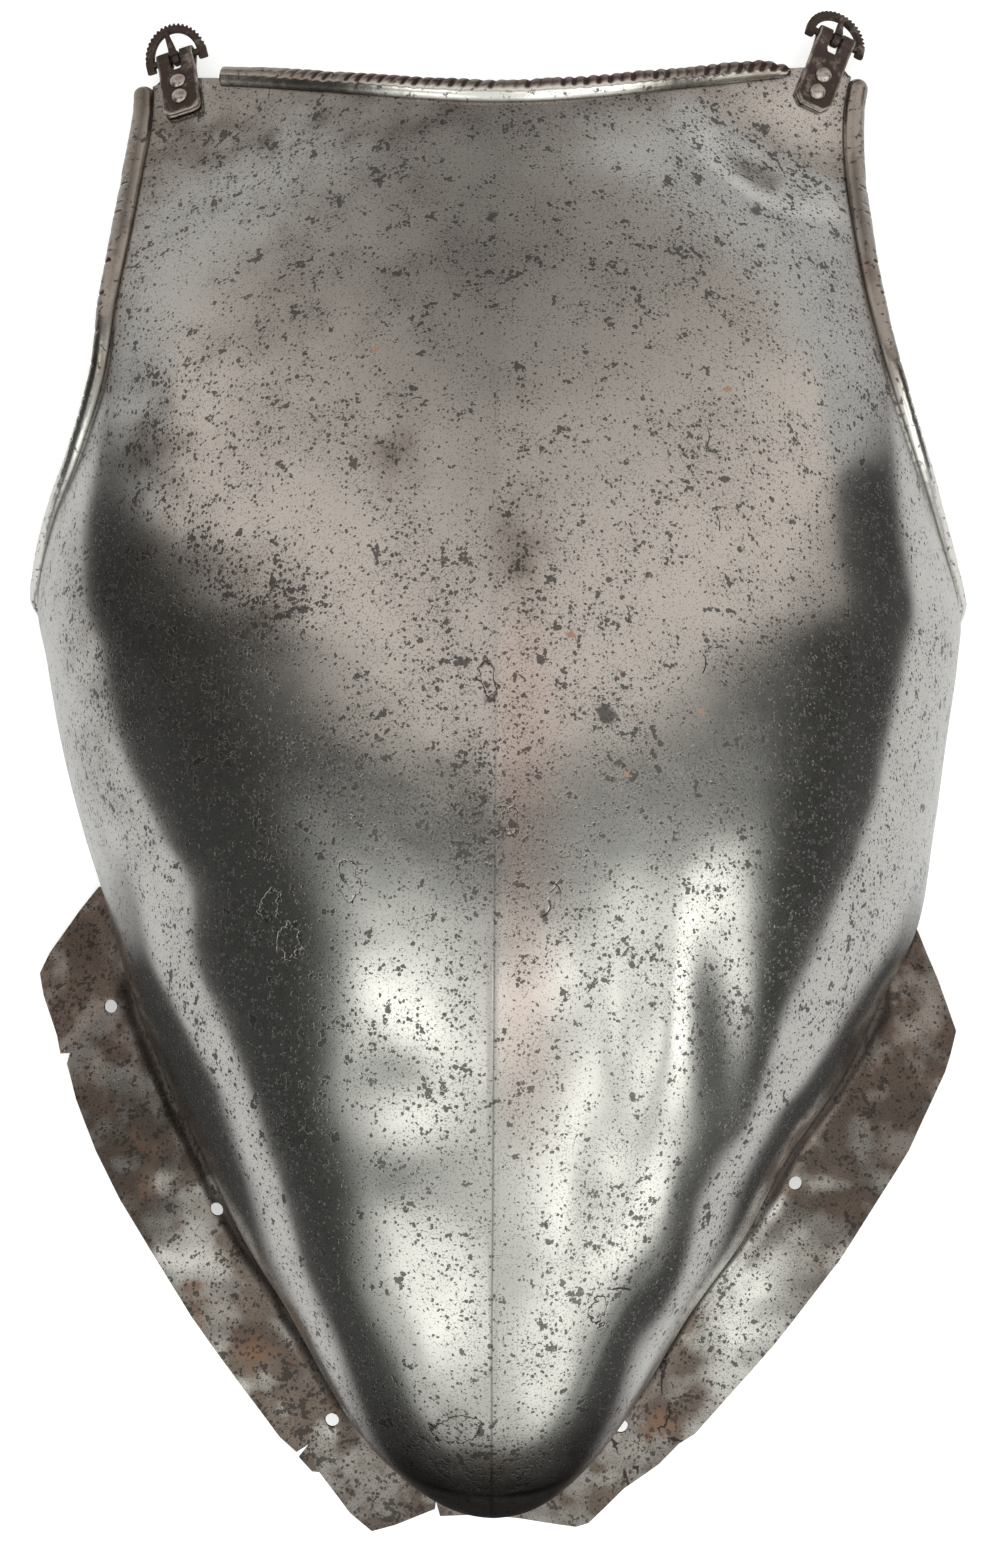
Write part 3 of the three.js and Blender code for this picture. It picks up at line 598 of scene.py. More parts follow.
# The nodes of one material or world
class Finish:
    def __init__(self, tree):
        self.tree = tree

    # Adds any node: its settings first, then the value or link of each socket
    def add(self, kind, settings, inputs, output=0):
        node = self.tree.nodes.new(kind)
        for name, value in settings.items():
            setattr(node, name, value)
        for name, value in inputs.items():
            self.join(node.inputs[name], value)
        return Wire(self, node.outputs[output])

    def join(self, socket, value):
        if isinstance(value, Wire):
            self.tree.links.new(value.socket, socket)
        else:
            socket.default_value = value

    def math(self, operation, *values):
        return self.add("ShaderNodeMath", {"operation": operation}, dict(enumerate(values)))

    def vector(self, operation, *values, output=0):
        return self.add("ShaderNodeVectorMath", {"operation": operation}, dict(enumerate(values)), output)

    def length(self, vector):
        return self.vector("LENGTH", vector, output="Value")

    def places(self, kind="Object"):
        return self.add("ShaderNodeTexCoord", {}, {}, kind)

    def parts(self, vector, names):
        return [self.add("ShaderNodeSeparateXYZ", {}, {0: vector}, name) for name in names]

    # 0 at start, 1 at end and an S between them
    def step(self, value, start, end):
        return self.add("ShaderNodeMapRange", {"interpolation_type": "SMOOTHSTEP"},
                        {"Value": value, "From Min": start, "From Max": end})

    # The same, blur to both sides of middle; it falls where blur is below 0
    def edge(self, value, middle, blur):
        return self.step(value, middle - blur, middle + blur)

    def colour(self, first, second, share, blend="MIX"):
        colours = [(*c, 1) if isinstance(c, tuple) else c for c in (first, second)]
        return self.add("ShaderNodeMix", {"data_type": "RGBA", "blend_type": blend, "clamp_factor": True},
                        {0: share, 6: colours[0], 7: colours[1]}, 2)

    def noise(self, where, cell, detail=2.0, rough=0.5, output="Fac"):
        sockets = {"Vector": where, "Scale": 1 / (cell * mm), "Detail": detail, "Roughness": rough}
        return self.add("ShaderNodeTexNoise", {}, sockets, output)

    # Round spots, one in each Voronoi cell: a cell's spot is its random share of size across
    def spots(self, where, cell, size):
        sockets = {"Vector": where, "Scale": 1 / (cell * mm)}
        distance = self.add("ShaderNodeTexVoronoi", {}, sockets, "Distance")
        share = self.parts(Wire(self, distance.socket.node.outputs["Color"]), "X")[0]
        return self.step(share * size - distance, 0.0, 0.1)

    # A line round the unit circle, width to each side
    def ring(self, spot, width):
        return self.step(abs(self.length(spot) - 1) * -1, -width, 0)

    def attribute(self, name):
        return self.add("ShaderNodeAttribute", {"attribute_name": name}, {}, "Fac")

    # Moves, turns and shrinks coordinates so that a mark at a plan place fills the unit circle
    def local(self, where, x, y, degrees, halfLong, halfWide):
        location = ((x + planToFrame[0]) * mm, (y + planToFrame[1]) * mm, 0)
        return self.add("ShaderNodeMapping", {"vector_type": "TEXTURE"}, {
            "Vector": where, "Location": location, "Rotation": (0, 0, math.radians(degrees)),
            "Scale": (halfLong * mm, halfWide * mm, 1000),
        })

    def most(self, values):
        result = values[0]
        for value in values[1:]:
            result = self.math("MAXIMUM", result, value)
        return result

    # Joins all that varies to the shader: colour, metal, roughness, and a bump deep millimetres high
    def surface(self, inputs, colour, metallic, roughness, height, strength, deep):
        sockets = {"Strength": strength, "Distance": deep * mm, "Height": height}
        bump = self.add("ShaderNodeBump", {}, sockets)
        sockets = {"Base Color": colour, "Metallic": metallic, "Roughness": roughness, "Normal": bump}
        for name, value in sockets.items():
            self.join(inputs[name], value)


# A material, its nodes, its shader's sockets and the object's coordinates
def newMaterial(name):
    made = bpy.data.materials.new(name)
    made.use_nodes = True
    finish = Finish(made.node_tree)
    return made, finish, made.node_tree.nodes["Principled BSDF"].inputs, finish.places()


# Skin over rings of points, its ends closed to the points start and end
def skinOver(rings, start, end):
    steps, sides = rings.shape[:2]
    points = np.concatenate([rings.reshape(-1, 3), [start], [end]])
    i, j = np.meshgrid(np.arange(steps - 1), np.arange(sides), indexing="ij")
    k = (j + 1) % sides
    walls = np.stack([i * sides + j, i * sides + k, (i + 1) * sides + k, (i + 1) * sides + j], -1)
    here = np.arange(sides)
    after = (here + 1) % sides
    last, pole = (steps - 1) * sides, np.full(sides, steps * sides)
    startFan = np.stack([after, here, pole], -1)
    endFan = np.stack([last + here, last + after, pole + 1], -1)
    return points, walls.reshape(-1, 4).tolist() + startFan.tolist() + endFan.tolist()


# Profile carried along a path: at each step the point is centre + u * first + v * second, (u, v) running
# round the step's own section. The ends are closed to their middles.
def sweep(centre, first, second, section):
    rings = centre[:, None] + section[..., :1] * first[:, None] + section[..., 1:] * second[:, None]
    return skinOver(rings, rings[0].mean(0), rings[-1].mean(0))


# Quarter round of an end: the root of 1 - (1 - distance / radius)2, no less than the root of least
def rounding(distance, radius, least):
    return np.sqrt(np.clip(1 - np.clip(1 - distance / radius, 0, 1) ** 2, least, 1))


# Round-cornered section: (cos, sin) of the turn raised to the power square, times the half sizes
def softBox(halfWide, halfThick, sides, square=0.35):
    turn = np.linspace(0, 2 * math.pi, sides, endpoint=False) + 0.01
    cos, sin = np.cos(turn), np.sin(turn)
    u = np.sign(cos) * np.abs(cos) ** square
    v = np.sign(sin) * np.abs(sin) ** square
    return np.stack([np.multiply.outer(halfWide, u), np.multiply.outer(halfThick, v)], -1)


# Edge of the outer face in even steps: the run along it, point, face normal and way out of the plate
def edgeFrame(edge, start, end, step):
    def pointAt(share, inset=0.0):
        if edge == "neck":
            return bodyPoint(share, inset * np.ones_like(share))
        side = -1.0 if edge == "left" else 1.0
        return bodyPoint(side * (1 - inset) * np.ones_like(share), share)

    dense = np.linspace(start, end, 3000)
    length = np.concatenate([[0], np.cumsum(np.linalg.norm(np.diff(pointAt(dense), axis=0), axis=1))])
    run = np.arange(0, length[-1], step)
    share = np.interp(run, length, dense)
    point = pointAt(share)
    tangent = unit(np.gradient(point, axis=0))
    inward = pointAt(share, 0.012 if edge != "neck" else 0.06) - point
    normal = unit(np.cross(tangent, inward))
    normal *= np.sign(normal[:, 2:])
    outward = np.cross(normal, tangent)
    outward *= -np.sign((outward * inward).sum(-1, keepdims=True))
    return run, point, normal, outward


# Start and end are across the neck or along the stations. Angles run from 0, out of the plate, over 90,
# off its face, to 180 at the crease, and the notches lie between low and high.
# Painted shade covers each roll's outer side and top up to one angle, and a painted highlight its side
# toward the plate past that angle, over a given share of the run; outer sets the shade's strength.
rolls = {
    "neck": {"start": -0.795, "end": 0.826, "domeStart": 0.5, "domeEnd": 3, "fade": 12, "tail": 0.62,
             "swell": 0.32, "pitch": 4.1, "depth": 0.6, "width": 0.24, "slant": 0.42, "low": -20,
             "high": 122, "faint": 0.3, "shadeTo": 108, "outer": 0.9, "paintedHighlight": (0.22, 0.66)},
    "left": {"start": 0.02, "end": 8.3, "domeStart": 2.5, "domeEnd": 4, "fade": 7, "tail": 0.35,
             "swell": 0.12, "pitch": 3.9, "depth": 0.4, "width": 0.13, "slant": 0.0, "low": 10, "high": 112,
             "faint": -0.6, "shadeTo": 70, "outer": 0.4, "paintedHighlight": (0.52, 1.2)},
    "right": {"start": 0.02, "end": 8.3, "domeStart": 3.5, "domeEnd": 4, "fade": 7, "tail": 0.35,
              "swell": 0.12, "pitch": 4.0, "depth": 0.4, "width": 0.13, "slant": 0.0, "low": 10, "high": 108,
              "faint": -0.7, "shadeTo": 66, "outer": 0.3, "paintedHighlight": (0.5, 1.2)},
}


# Turned edge: a circle of radius carried along the edge, its centre reach radii out. Filed notches
# are bells round the middles of a phase, run / pitch + slant * angle, each of random strength.
def makeRoll(edge, steel):
    made = rolls[edge]
    run, point, normal, outward = edgeFrame(edge, made["start"], made["end"], roll["step"])
    share = run / run[-1]

    def drift(cell, seed):
        return softNoise(run, run * 0, cell, seed)

    dome = rounding(run, made["domeStart"], 0.0004) * rounding(run[-1] - run, made["domeEnd"], 0.0004)
    fade = mix(made["tail"], 1, smooth((run[-1] - run) / made["fade"]))
    uneven = 1 + 0.05 * drift(14, 11) + 0.02 * drift(5, 12)
    middle = 1 + made["swell"] * np.exp(-((share - 0.5) / 0.3) ** 2)
    radius = roll["radius"] * fade * uneven * middle

    angle = np.linspace(0, 2 * math.pi, roll["sides"], endpoint=False) - math.pi
    degrees = np.degrees(angle)
    phase = run[:, None] / made["pitch"] + made["slant"] * angle + 0.16 * drift(9, 13)[:, None]
    number = np.floor(phase).astype(int)
    strength = np.random.default_rng(14).uniform(made["faint"], 1.1, 256)[number % 256]
    strength = np.maximum(strength * smooth((share - 0.02) / 0.22)[:, None], 0)
    window = smooth((degrees - made["low"]) / 18) * (1 - smooth((degrees - made["high"] + 18) / 18))
    notch = np.exp(-((phase - number - 0.5) / made["width"]) ** 2) * strength * window
    size = (radius[:, None] - made["depth"] * notch) * dome[:, None]
    size = np.maximum(size + 0.05 * softNoise(run[:, None], angle * 4, 2.6, 15), 0.02)
    section = np.stack([size * np.cos(angle), size * np.sin(angle)], -1)
    centre = point + outward * (radius * roll["reach"])[:, None] - normal * (radius * roll["lift"])[:, None]
    points, faces = sweep(centre, outward, normal, section)
    points[:, 2] = np.maximum(points[:, 2], 0)
    piece = makeSolid("neckRoll" if edge == "neck" else edge + "ArmRoll", points, faces)
    coat(piece, steel)

    # Painted shade: the roll darkened in the crease against the plate and on its outer side and top, and a
    # painted highlight on its side toward the plate
    crease = smooth((np.abs(degrees) - 158) / 14) * np.ones_like(notch)
    patches = ((0.8 + 0.3 * drift(12, 17)) * smooth((share + 0.1) / 0.3))[:, None]
    paintedShadeSide = smooth((made["shadeTo"] - degrees) / 26) * (degrees > -90) * patches * made["outer"]
    start, end = made["paintedHighlight"]
    paintedHighlight = smooth((share - start) / 0.12) * (1 - smooth((share - end) / 0.12))
    paintedHighlight = paintedHighlight[:, None] * smooth((degrees - made["shadeTo"] + 12) / 24)
    kept = {"notch": (notch, 0), "crease": (crease, 1), "paintedShadeSide": (paintedShadeSide, 0), "paintedHighlight": (paintedHighlight, 0)}
    for name, (values, pole) in kept.items():
        keepAttribute(piece, name, np.concatenate([values.ravel(), [pole, pole]]))
    shade(piece, 60)
    finishPiece(piece, "root", [])


buckle = {
    "leafThickness": 1.1, "leafWidth": 12.8, "leafGap": 0.3, "corner": 2.6, "edgeRound": 0.35,
    "foldRadius": 2.3, "foldTurn": 140, "leafStart": 5.6,   # fold's half turn, and where the leaves lie flat
    "slotWidth": 4.0, "slotLength": 5.4,
    "barRadius": 1.2, "outer": (10.8, 12.2), "inner": (7.7, 8.9), "frameThickness": 2.4, "foot": 2.4,
    "lobes": 21, "lobeDepth": 1.05, "lobeLean": 0.35,
    "tongueWidth": 2.9, "tipWidth": 1.7, "tipRound": 1.3, "tongueReach": 10.2, "tongueThickness": 1.1,
    "eyeInner": 1.55, "eyeOuter": 2.55,
    "headRadius": 2.8, "headHeight": 1.6, "headSide": 0.25, "shank": 1.25,
    "burrRadius": 2.3, "burrHeight": 0.9, "clearance": 0.3,
}
barHeight = buckle["clearance"] + buckle["leafThickness"] + buckle["leafGap"] / 2


# The seat's frame: centre on the bar and rows across, along and off the leaf
def seatFrame(seat):
    off = unit(np.array([-seat["riseX"], -seat["riseY"], 1.0]))
    climb = seat["riseX"] * seat["alongX"] + seat["riseY"] * seat["alongY"]
    lengthways = unit(np.array([seat["alongX"], seat["alongY"], climb]))
    centre = np.array([seat["x"], seat["y"], seat["z"]]) + off * barHeight
    return centre, np.stack([np.cross(lengthways, off), lengthways, off])


# Points turned about an axis through the origin
def turned(points, degrees, axis):
    c, s = math.cos(math.radians(degrees)), math.sin(math.radians(degrees))
    i, j = {"x": (1, 2), "z": (0, 1)}[axis]
    result = points.copy()
    result[:, i], result[:, j] = points[:, i] * c - points[:, j] * s, points[:, i] * s + points[:, j] * c
    return result


# Points of the seat's frame in plan
def onSeat(points, seat):
    centre, basis = seatFrame(seat)
    return points @ basis + centre


# The same for what hangs on the bar: skewed about the leaf's normal, then lifted to its angle at rest
def hung(points, seat, skew=0):
    return onSeat(turned(turned(points, skew, "z"), seat["lift"], "x"), seat)


# The unit vector of an axis, once for each step
def ways(axis, steps):
    return np.tile(np.eye(3)["xyz".index(axis)], (steps, 1))


# D-shaped frame: a squared section carried up a leg, round half an oval and down a leg. The roping of its
# outer side is lobes, the absolute sine of the share of the turn. A round bar joins the legs.
def makeBuckleFrame(seat, iron):
    outer, inner = np.array(buckle["outer"]), np.array(buckle["inner"])
    middle, half = (outer + inner) / 2, (outer - inner) / 2
    legs, turn = np.linspace(-buckle["foot"], 0, 12, endpoint=False), np.linspace(0, math.pi, 260)
    angle = np.concatenate([0 * legs, turn, 0 * legs + math.pi])
    y = np.concatenate([legs, middle[1] * np.sin(turn), legs[::-1]])
    path = np.stack([middle[0] * np.cos(angle), y, 0 * y], -1)
    out = np.stack([np.cos(angle), np.sin(angle), 0 * y], -1)
    width = mix(half[0], half[1], np.sin(angle))
    section = softBox(width, np.full(len(path), buckle["frameThickness"] / 2), 36, 0.55)
    share = angle[:, None] / math.pi
    lobe = np.abs(np.sin(math.pi * (share * buckle["lobes"] + buckle["lobeLean"] * section[..., 1])))
    rope = smooth(section[..., 0] / (0.8 * width[:, None])) * (share > 0.04) * (share < 0.96)
    rope = rope * smooth((share - 0.03) / 0.05) * smooth((0.97 - share) / 0.05)
    section[..., 0] -= buckle["lobeDepth"] * (1 - lobe) * rope
    points, faces = sweep(path, out, ways("z", len(path)), section)
    piece = makeSolid("buckleFrame" + seat["side"].title(), hung(points, seat), faces)
    steps = 24
    span = np.linspace(-inner[0] - 1, inner[0] + 1, steps)
    size = np.full(steps, buckle["barRadius"])
    path = np.stack([span, 0 * span, 0 * span], -1)
    points, faces = sweep(path, ways("y", steps), ways("z", steps), softBox(size, size, 24, 1.0))
    cutBy(piece, [makeSolid("bar", hung(points, seat), faces)], "UNION")
    coat(piece, iron)
    shade(piece, 50)
    finishPiece(piece, "frame_" + seat["side"], ["buckle_frame_" + seat["side"]])


# Tongue: a squared section carried from over the eye down onto the frame and narrowed to a round tip,
# and a ring of the same sort of section round the bar
def makeBuckleTongue(seat, iron):
    inner, outer, reach = buckle["eyeInner"], buckle["eyeOuter"], buckle["tongueReach"]
    low = buckle["frameThickness"] / 2 + buckle["clearance"]
    high = low + buckle["tongueThickness"]
    steps, sides, rounds = 60, 20, 48
    y = mix(0.3, reach, np.linspace(0, 1, steps))
    middle = mix((inner + 0.55 + high) / 2 + 0.1, (low + high) / 2, smooth((y - 1.4) / 2.2))
    tip = rounding(reach - y, buckle["tipRound"], 0.02)
    wide = mix(buckle["tongueWidth"], buckle["tipWidth"], smooth(y / 9)) / 2 * mix(1, tip, 0.6)
    thick = buckle["tongueThickness"] / 2 * mix(1, tip, 0.7)
    path = np.stack([0 * y, y, middle], -1)
    points, faces = sweep(path, ways("x", steps), ways("z", steps), softBox(wide, thick, 28, 0.6))
    piece = makeSolid("buckleTongue" + seat["side"].title(), hung(points, seat, seat["skew"]), faces)
    ring = np.linspace(0, 2 * math.pi, rounds, endpoint=False)
    wall = np.full(rounds, (outer - inner) / 2)
    profile = softBox(wall, np.full(rounds, buckle["tongueWidth"] / 2 - 0.15), sides, 0.6)
    out = np.stack([0 * ring, np.cos(ring), np.sin(ring)], -1)
    loop = (out * (inner + outer) / 2)[:, None] + profile[..., :1] * out[:, None]
    loop[..., 0] += profile[..., 1]
    grid = np.pad(np.arange(rounds * sides).reshape(rounds, sides), ((0, 1), (0, 1)), "wrap")
    points = hung(loop.reshape(-1, 3), seat, seat["skew"])
    cutBy(piece, [makeSolid("eye", points, patchFaces(grid))], "UNION")
    coat(piece, iron)
    shade(piece, 50)
    finishPiece(piece, "tongue_" + seat["side"], ["buckle_tongue_" + seat["side"]])


# 1 at the leaf's sides, lower end and corners and 0 a millimetre inside them
def leafRim(piece, seat):
    centre, basis = seatFrame(seat)
    x, y = ((meshPoints(piece) - centre) @ basis.T).T[:2]
    aside, below = buckle["leafWidth"] / 2 - np.abs(x), y + seat["length"]
    corner = (aside + below - buckle["corner"]) / math.sqrt(2)
    inside = np.minimum(np.minimum(aside, below), corner)
    return (1 - smooth(inside / 0.9)) * smooth((2.5 - y) / 2)


# Sheet folded round the bar: a flat section carried along the lower leaf, an arc of foldRadius and the
# upper leaf, and narrowed to the corners. One slot is cut through both leaves.
def makeBucklePlate(seat, iron):
    length, half, start = seat["length"], buckle["leafThickness"] / 2, -buckle["leafStart"]
    level = half + buckle["leafGap"] / 2
    bend = np.radians(np.linspace(-buckle["foldTurn"], buckle["foldTurn"], 60))
    foldY, foldZ = buckle["foldRadius"] * np.cos(bend), buckle["foldRadius"] * np.sin(bend)
    straight, ease = np.linspace(-length, start, 50), np.linspace(0, 1, 14)[1:-1]
    easeY, easeZ = mix(start, foldY[0], ease), mix(-level, foldZ[0], smooth(ease))
    flat = np.full(50, level)
    y = np.concatenate([straight, easeY, foldY, easeY[::-1], straight[::-1]])
    z = np.concatenate([-flat, easeZ, foldZ, -easeZ[::-1], flat])
    path = np.stack([0 * y, y, z], -1)
    across = ways("x", len(path))
    off = np.cross(across, unit(np.gradient(path, axis=0)))
    left = y + length                                       # distance from the leaf's lower end
    reach = np.clip(1 - left / buckle["corner"], 0, 1)
    cut = reach if seat["corner"] == "clipped" else 1 - np.sqrt(1 - reach ** 2)
    wide = buckle["leafWidth"] / 2 - buckle["corner"] * cut
    section = softBox(wide, half * rounding(left, buckle["edgeRound"], 0.15), 44, 0.28)
    section[..., 1] += 0.05 * softNoise(section[..., 0], y[:, None] + z[:, None], 3.5, 21)
    points, faces = sweep(path, across, off, section)
    piece = makeSolid("bucklePlate" + seat["side"].title(), onSeat(points, seat), faces)
    slot, end = buckle["slotWidth"] / 2, buckle["slotLength"]
    outline = [(-slot, 6), (-slot, -end * 0.8), (-slot * 0.6, -end), (slot * 0.6, -end),
               (slot, -end * 0.8), (slot, 6)]
    points, faces = prismOn(outline, -6, 6)
    cutBy(piece, [makeSolid("slot", onSeat(points, seat), faces)], "DIFFERENCE")
    coat(piece, iron)
    keepAttribute(piece, "rim", leafRim(piece, seat))
    shade(piece, 45)
    finishPiece(piece, "root", ["buckle_plate_" + seat["side"]])


# Rivet: rings about its axis from the burr inside, along the shank, to a head whose radius is a power of
# the cosine and whose height is one of the sine, all a little out of round
def makeRivet(seat, row, steel):
    top = buckle["leafThickness"] + buckle["leafGap"] / 2 + 0.05
    under = -barHeight - plate["thickness"] - buckle["clearance"]
    turn = np.linspace(0, math.pi / 2, 22)[:-1]
    shank, head, burr, foot = (buckle[name] for name in ("shank", "headRadius", "burrRadius", "burrHeight"))
    side, rise = buckle["headSide"], buckle["headHeight"] - buckle["headSide"]
    radius = [0.3, burr * 0.8, burr, burr, shank, shank, head * 0.94, *(head * np.cos(turn) ** 0.9)]
    height = [under - foot, under - foot, under - foot / 2, under, under, top, top,
              *(top + side + rise * np.sin(turn) ** 1.15)]
    angle = np.linspace(0, 2 * math.pi, 40, endpoint=False)
    wobble = 1 + 0.035 * np.sin(angle * 2 + seat["x"] + seat[row]) + 0.02 * np.sin(angle * 3 + 1.3)
    spread = np.array(radius)[:, None] * wobble
    level = np.array(height)[:, None] + 0 * spread
    rings = np.stack([spread * np.cos(angle), spread * np.sin(angle), level], -1)
    points, faces = skinOver(rings, (0, 0, height[0]), (0, 0, height[-1] + 0.02))
    name = "rivet" + seat["side"].title() + row.title()
    piece = makeSolid(name, onSeat(points + [0, -seat[row], 0], seat), faces)
    coat(piece, steel)
    shade(piece, 45)
    finishPiece(piece, "root", [f"rivet_{seat['side']}_{row}"])


# The darkest colour draws the marks' lines and the painted shade; the pink one is a painted reflection
steelLook = {
    "clean": (0.66, 0.64, 0.615), "brown": (0.175, 0.14, 0.12), "pit": (0.055, 0.048, 0.045),
    "rust": (0.30, 0.13, 0.055), "linesAndPaintedShade": (0.035, 0.03, 0.028), "pinkReflection": (1.0, 0.88, 0.86),
    "roughness": 0.17, "drift": 6.5, "ragged": 1.5, "speckCell": 0.6, "pitCell": 1.4, "blotCell": 5,
    "ridgeWidth": 0.6, "ridgeX": -0.7, "ridgeY": 12, "ridgeLean": 0.0055,
}

# Closed outlines of flakes and rings: plan place, turn, half sizes and the line's width as a share
flakes = table("x y turn long wide line", [
    (-68.5, -37.1, 70, 5.2, 2.6, 0.13), (-62.1, -47.6, 95, 4.8, 3.8, 0.12), (-44.1, -29.5, 100, 6, 3, 0.08),
    (-3.4, 29.5, 95, 5.6, 2.4, 0.2), (29.6, -157, 75, 4.6, 2.4, 0.13), (-13.2, -194.3, 20, 7.5, 4.5, 0.07),
    (3.4, -11.6, 90, 4.6, 1.6, 0.2),
])
# Bends of scratches: middle of the circle they lie on, the way to the arc, its radius and half angle
scratches = table("x y turn radius half width", [
    (57.8, 105.2, 0, 6, 32, 0.26), (60, 77.1, 8, 6.5, 24, 0.24), (33, 49.1, 4, 5.5, 30, 0.26),
    (56.4, 35.1, 0, 5.2, 40, 0.3), (11.5, -36.5, -20, 3.2, 60, 0.5), (14.5, -33, 50, 3.2, 48, 0.5),
    (12.8, -29, -40, 4, 34, 0.4), (-25, 113.5, 90, 2.6, 40, 0.34), (35.4, -158, 84, 7, 24, 0.5),
])
# Cracks and lifted layers of the flange: plan place of the middle, turn, half length
cracks = table("x y turn half", [
    (52.3, -190.5, 84, 8.5), (53.3, -206.5, 72, 5.5), (57, -212.4, -12, 3.6), (36.4, -213.4, 108, 3.2),
    (40.8, -224.6, 95, 3.4), (43.8, -221.6, -55, 2.6), (-62.8, -215.8, 45, 2.8), (-20.2, -229, 80, 4.5),
])
# Single dark or rusty spots
dots = table("x y size rust", [
    (20.6, 43.6, 1.7, 1), (35.4, 31, 1.1, 1), (37.6, 2, 1.3, 1), (60.3, 19.4, 1, 1), (31.1, 19.1, 2.9, 0.1),
    (81.8, 183.1, 2.2, 0), (-3.6, 28, 1.3, 0), (-33.6, -151.8, 1.1, 0), (12.9, -39.5, 1.2, 0.4),
    (-38, 132, 1.2, 0.8), (70, 120, 1, 0.9), (-2, 176, 1.6, 0),
])


# Worn steel: a bright ground, darkened by speckle, pits in drifts, stains and rust, with the named marks
# drawn on it, painted shade along the creases and the ridge, a painted highlight on the flange and a painted
# pink reflection.
# A pattern is a noise taken from a threshold that the density lowers.
def makePlateSteel():
    material, finish, inputs, where = newMaterial("plateSteel")
    look = steelLook
    stain, pits, rust, linesAndPaintedShade, pinkReflection = map(finish.attribute, ("stain", "pits", "rust", "linesAndPaintedShade", "pinkReflection"))

    # places shifted a little by noise, so that no mark has a clean outline
    drift = look["drift"] * mm
    shift = finish.vector("MULTIPLY_ADD", finish.noise(where, 4, 2, 0.6, "Color"), (drift,) * 3, where)
    shift = finish.vector("SUBTRACT", shift, (drift / 2,) * 3)
    ragged = finish.noise(where, 1.1, 1, 0.6, "Color")
    ragged = finish.vector("MULTIPLY_ADD", ragged, (look["ragged"] * mm,) * 3, where)

    broad, cloud = finish.noise(where, 34, 1), finish.noise(where, 11, 2)
    speck = finish.noise(where, look["speckCell"], 2, 0.62)
    density = pits * 0.1 + (broad - 0.5) * 0.22 + (cloud - 0.5) * 0.28
    specks = finish.step(speck + density * 0.5, 0.55, 0.68)
    drifts = finish.step(finish.noise(where, look["blotCell"], 1) + density * 0.7, 0.62, 0.76)
    holes = finish.spots(ragged, look["pitCell"], density * 1.5 + drifts * 0.7 + 0.39)

    x, y = finish.parts(where, "XY")
    # Painted shade: a thin dark line along the ridge's crest, strongest on the belly
    fromRidge = abs(x - look["ridgeX"] * mm - (y - look["ridgeY"] * mm) * look["ridgeLean"])
    ridge = finish.step(fromRidge * -1, -look["ridgeWidth"] * mm, 0)
    ridge = ridge * finish.step(y + (cloud - 0.5) * 0.2, 0.07, -0.1)
    lines = []
    for mark in eachRow(flakes):
        spot = finish.local(shift, mark["x"], mark["y"], mark["turn"], mark["long"], mark["wide"])
        lines.append(finish.ring(spot, mark["line"]))
    for mark in eachRow(scratches):
        spot = finish.local(where, mark["x"], mark["y"], mark["turn"], mark["radius"], mark["radius"])
        ends = [math.cos(math.radians(mark["half"] * share)) for share in (1, 0.8)]
        arc = finish.step(finish.parts(spot, "X")[0], *ends)
        lines.append(finish.ring(spot, mark["width"] / mark["radius"]) * arc)
    for mark in eachRow(cracks):
        spot = finish.local(shift, mark["x"], mark["y"], mark["turn"], mark["half"], 0.55)
        lines.append(finish.step(finish.length(finish.vector("MULTIPLY", spot, spot)), 1.0, 0.35))
    dark, orange = [], []
    for mark in eachRow(dots):
        spot = finish.local(shift, mark["x"], mark["y"], 0, mark["size"], mark["size"])
        (dark if mark["rust"] < 0.5 else orange).append(finish.step(finish.length(spot), 1.25, 0.6))
    lines = finish.most(lines + [ridge * 0.6])

    eaten = finish.most([holes * 0.9, finish.most(dark) * 0.9])
    rusty = finish.step(rust + (cloud - 0.5) * 0.9 + (speck - 0.5), 0.45, 0.8)
    rusty = finish.most([rusty, finish.most(orange)])
    mottle = finish.step(cloud + (broad - 0.5) * 0.8, 0.3, 0.66) * 0.5 + 0.6
    # Brown where stained; the places held clean on the flange and the ears are a painted highlight
    tint = finish.colour(look["clean"], look["brown"], stain * mottle + (broad - 0.5) * 0.4)
    # A painted pink reflection just right of the ridge
    tint = finish.colour(tint, look["pinkReflection"], pinkReflection, "MULTIPLY")
    tint = finish.colour(tint, look["pit"], specks * 0.55)
    tint = finish.colour(tint, look["rust"], rusty * 0.75)
    tint = finish.colour(tint, look["pit"], eaten * 0.85)
    # Darkest in the marks' lines and in the painted shade along the creases, the ridge and the waist
    tint = finish.colour(tint, look["linesAndPaintedShade"], finish.most([lines * 0.9, linesAndPaintedShade]))
    roughness = look["roughness"] + stain * 0.1 + (cloud - 0.5) * 0.12
    roughness = finish.most([roughness, finish.most([eaten, rusty, lines]) * 0.38])
    height = 1 - finish.most([holes * 0.4, lines])
    finish.surface(inputs, tint, 1 - rusty * 0.6, roughness, height, 0.6, 0.16)
    return material


insideLook = {"scale": (0.17, 0.15, 0.14), "rust": (0.13, 0.075, 0.045), "dark": (0.04, 0.035, 0.033)}


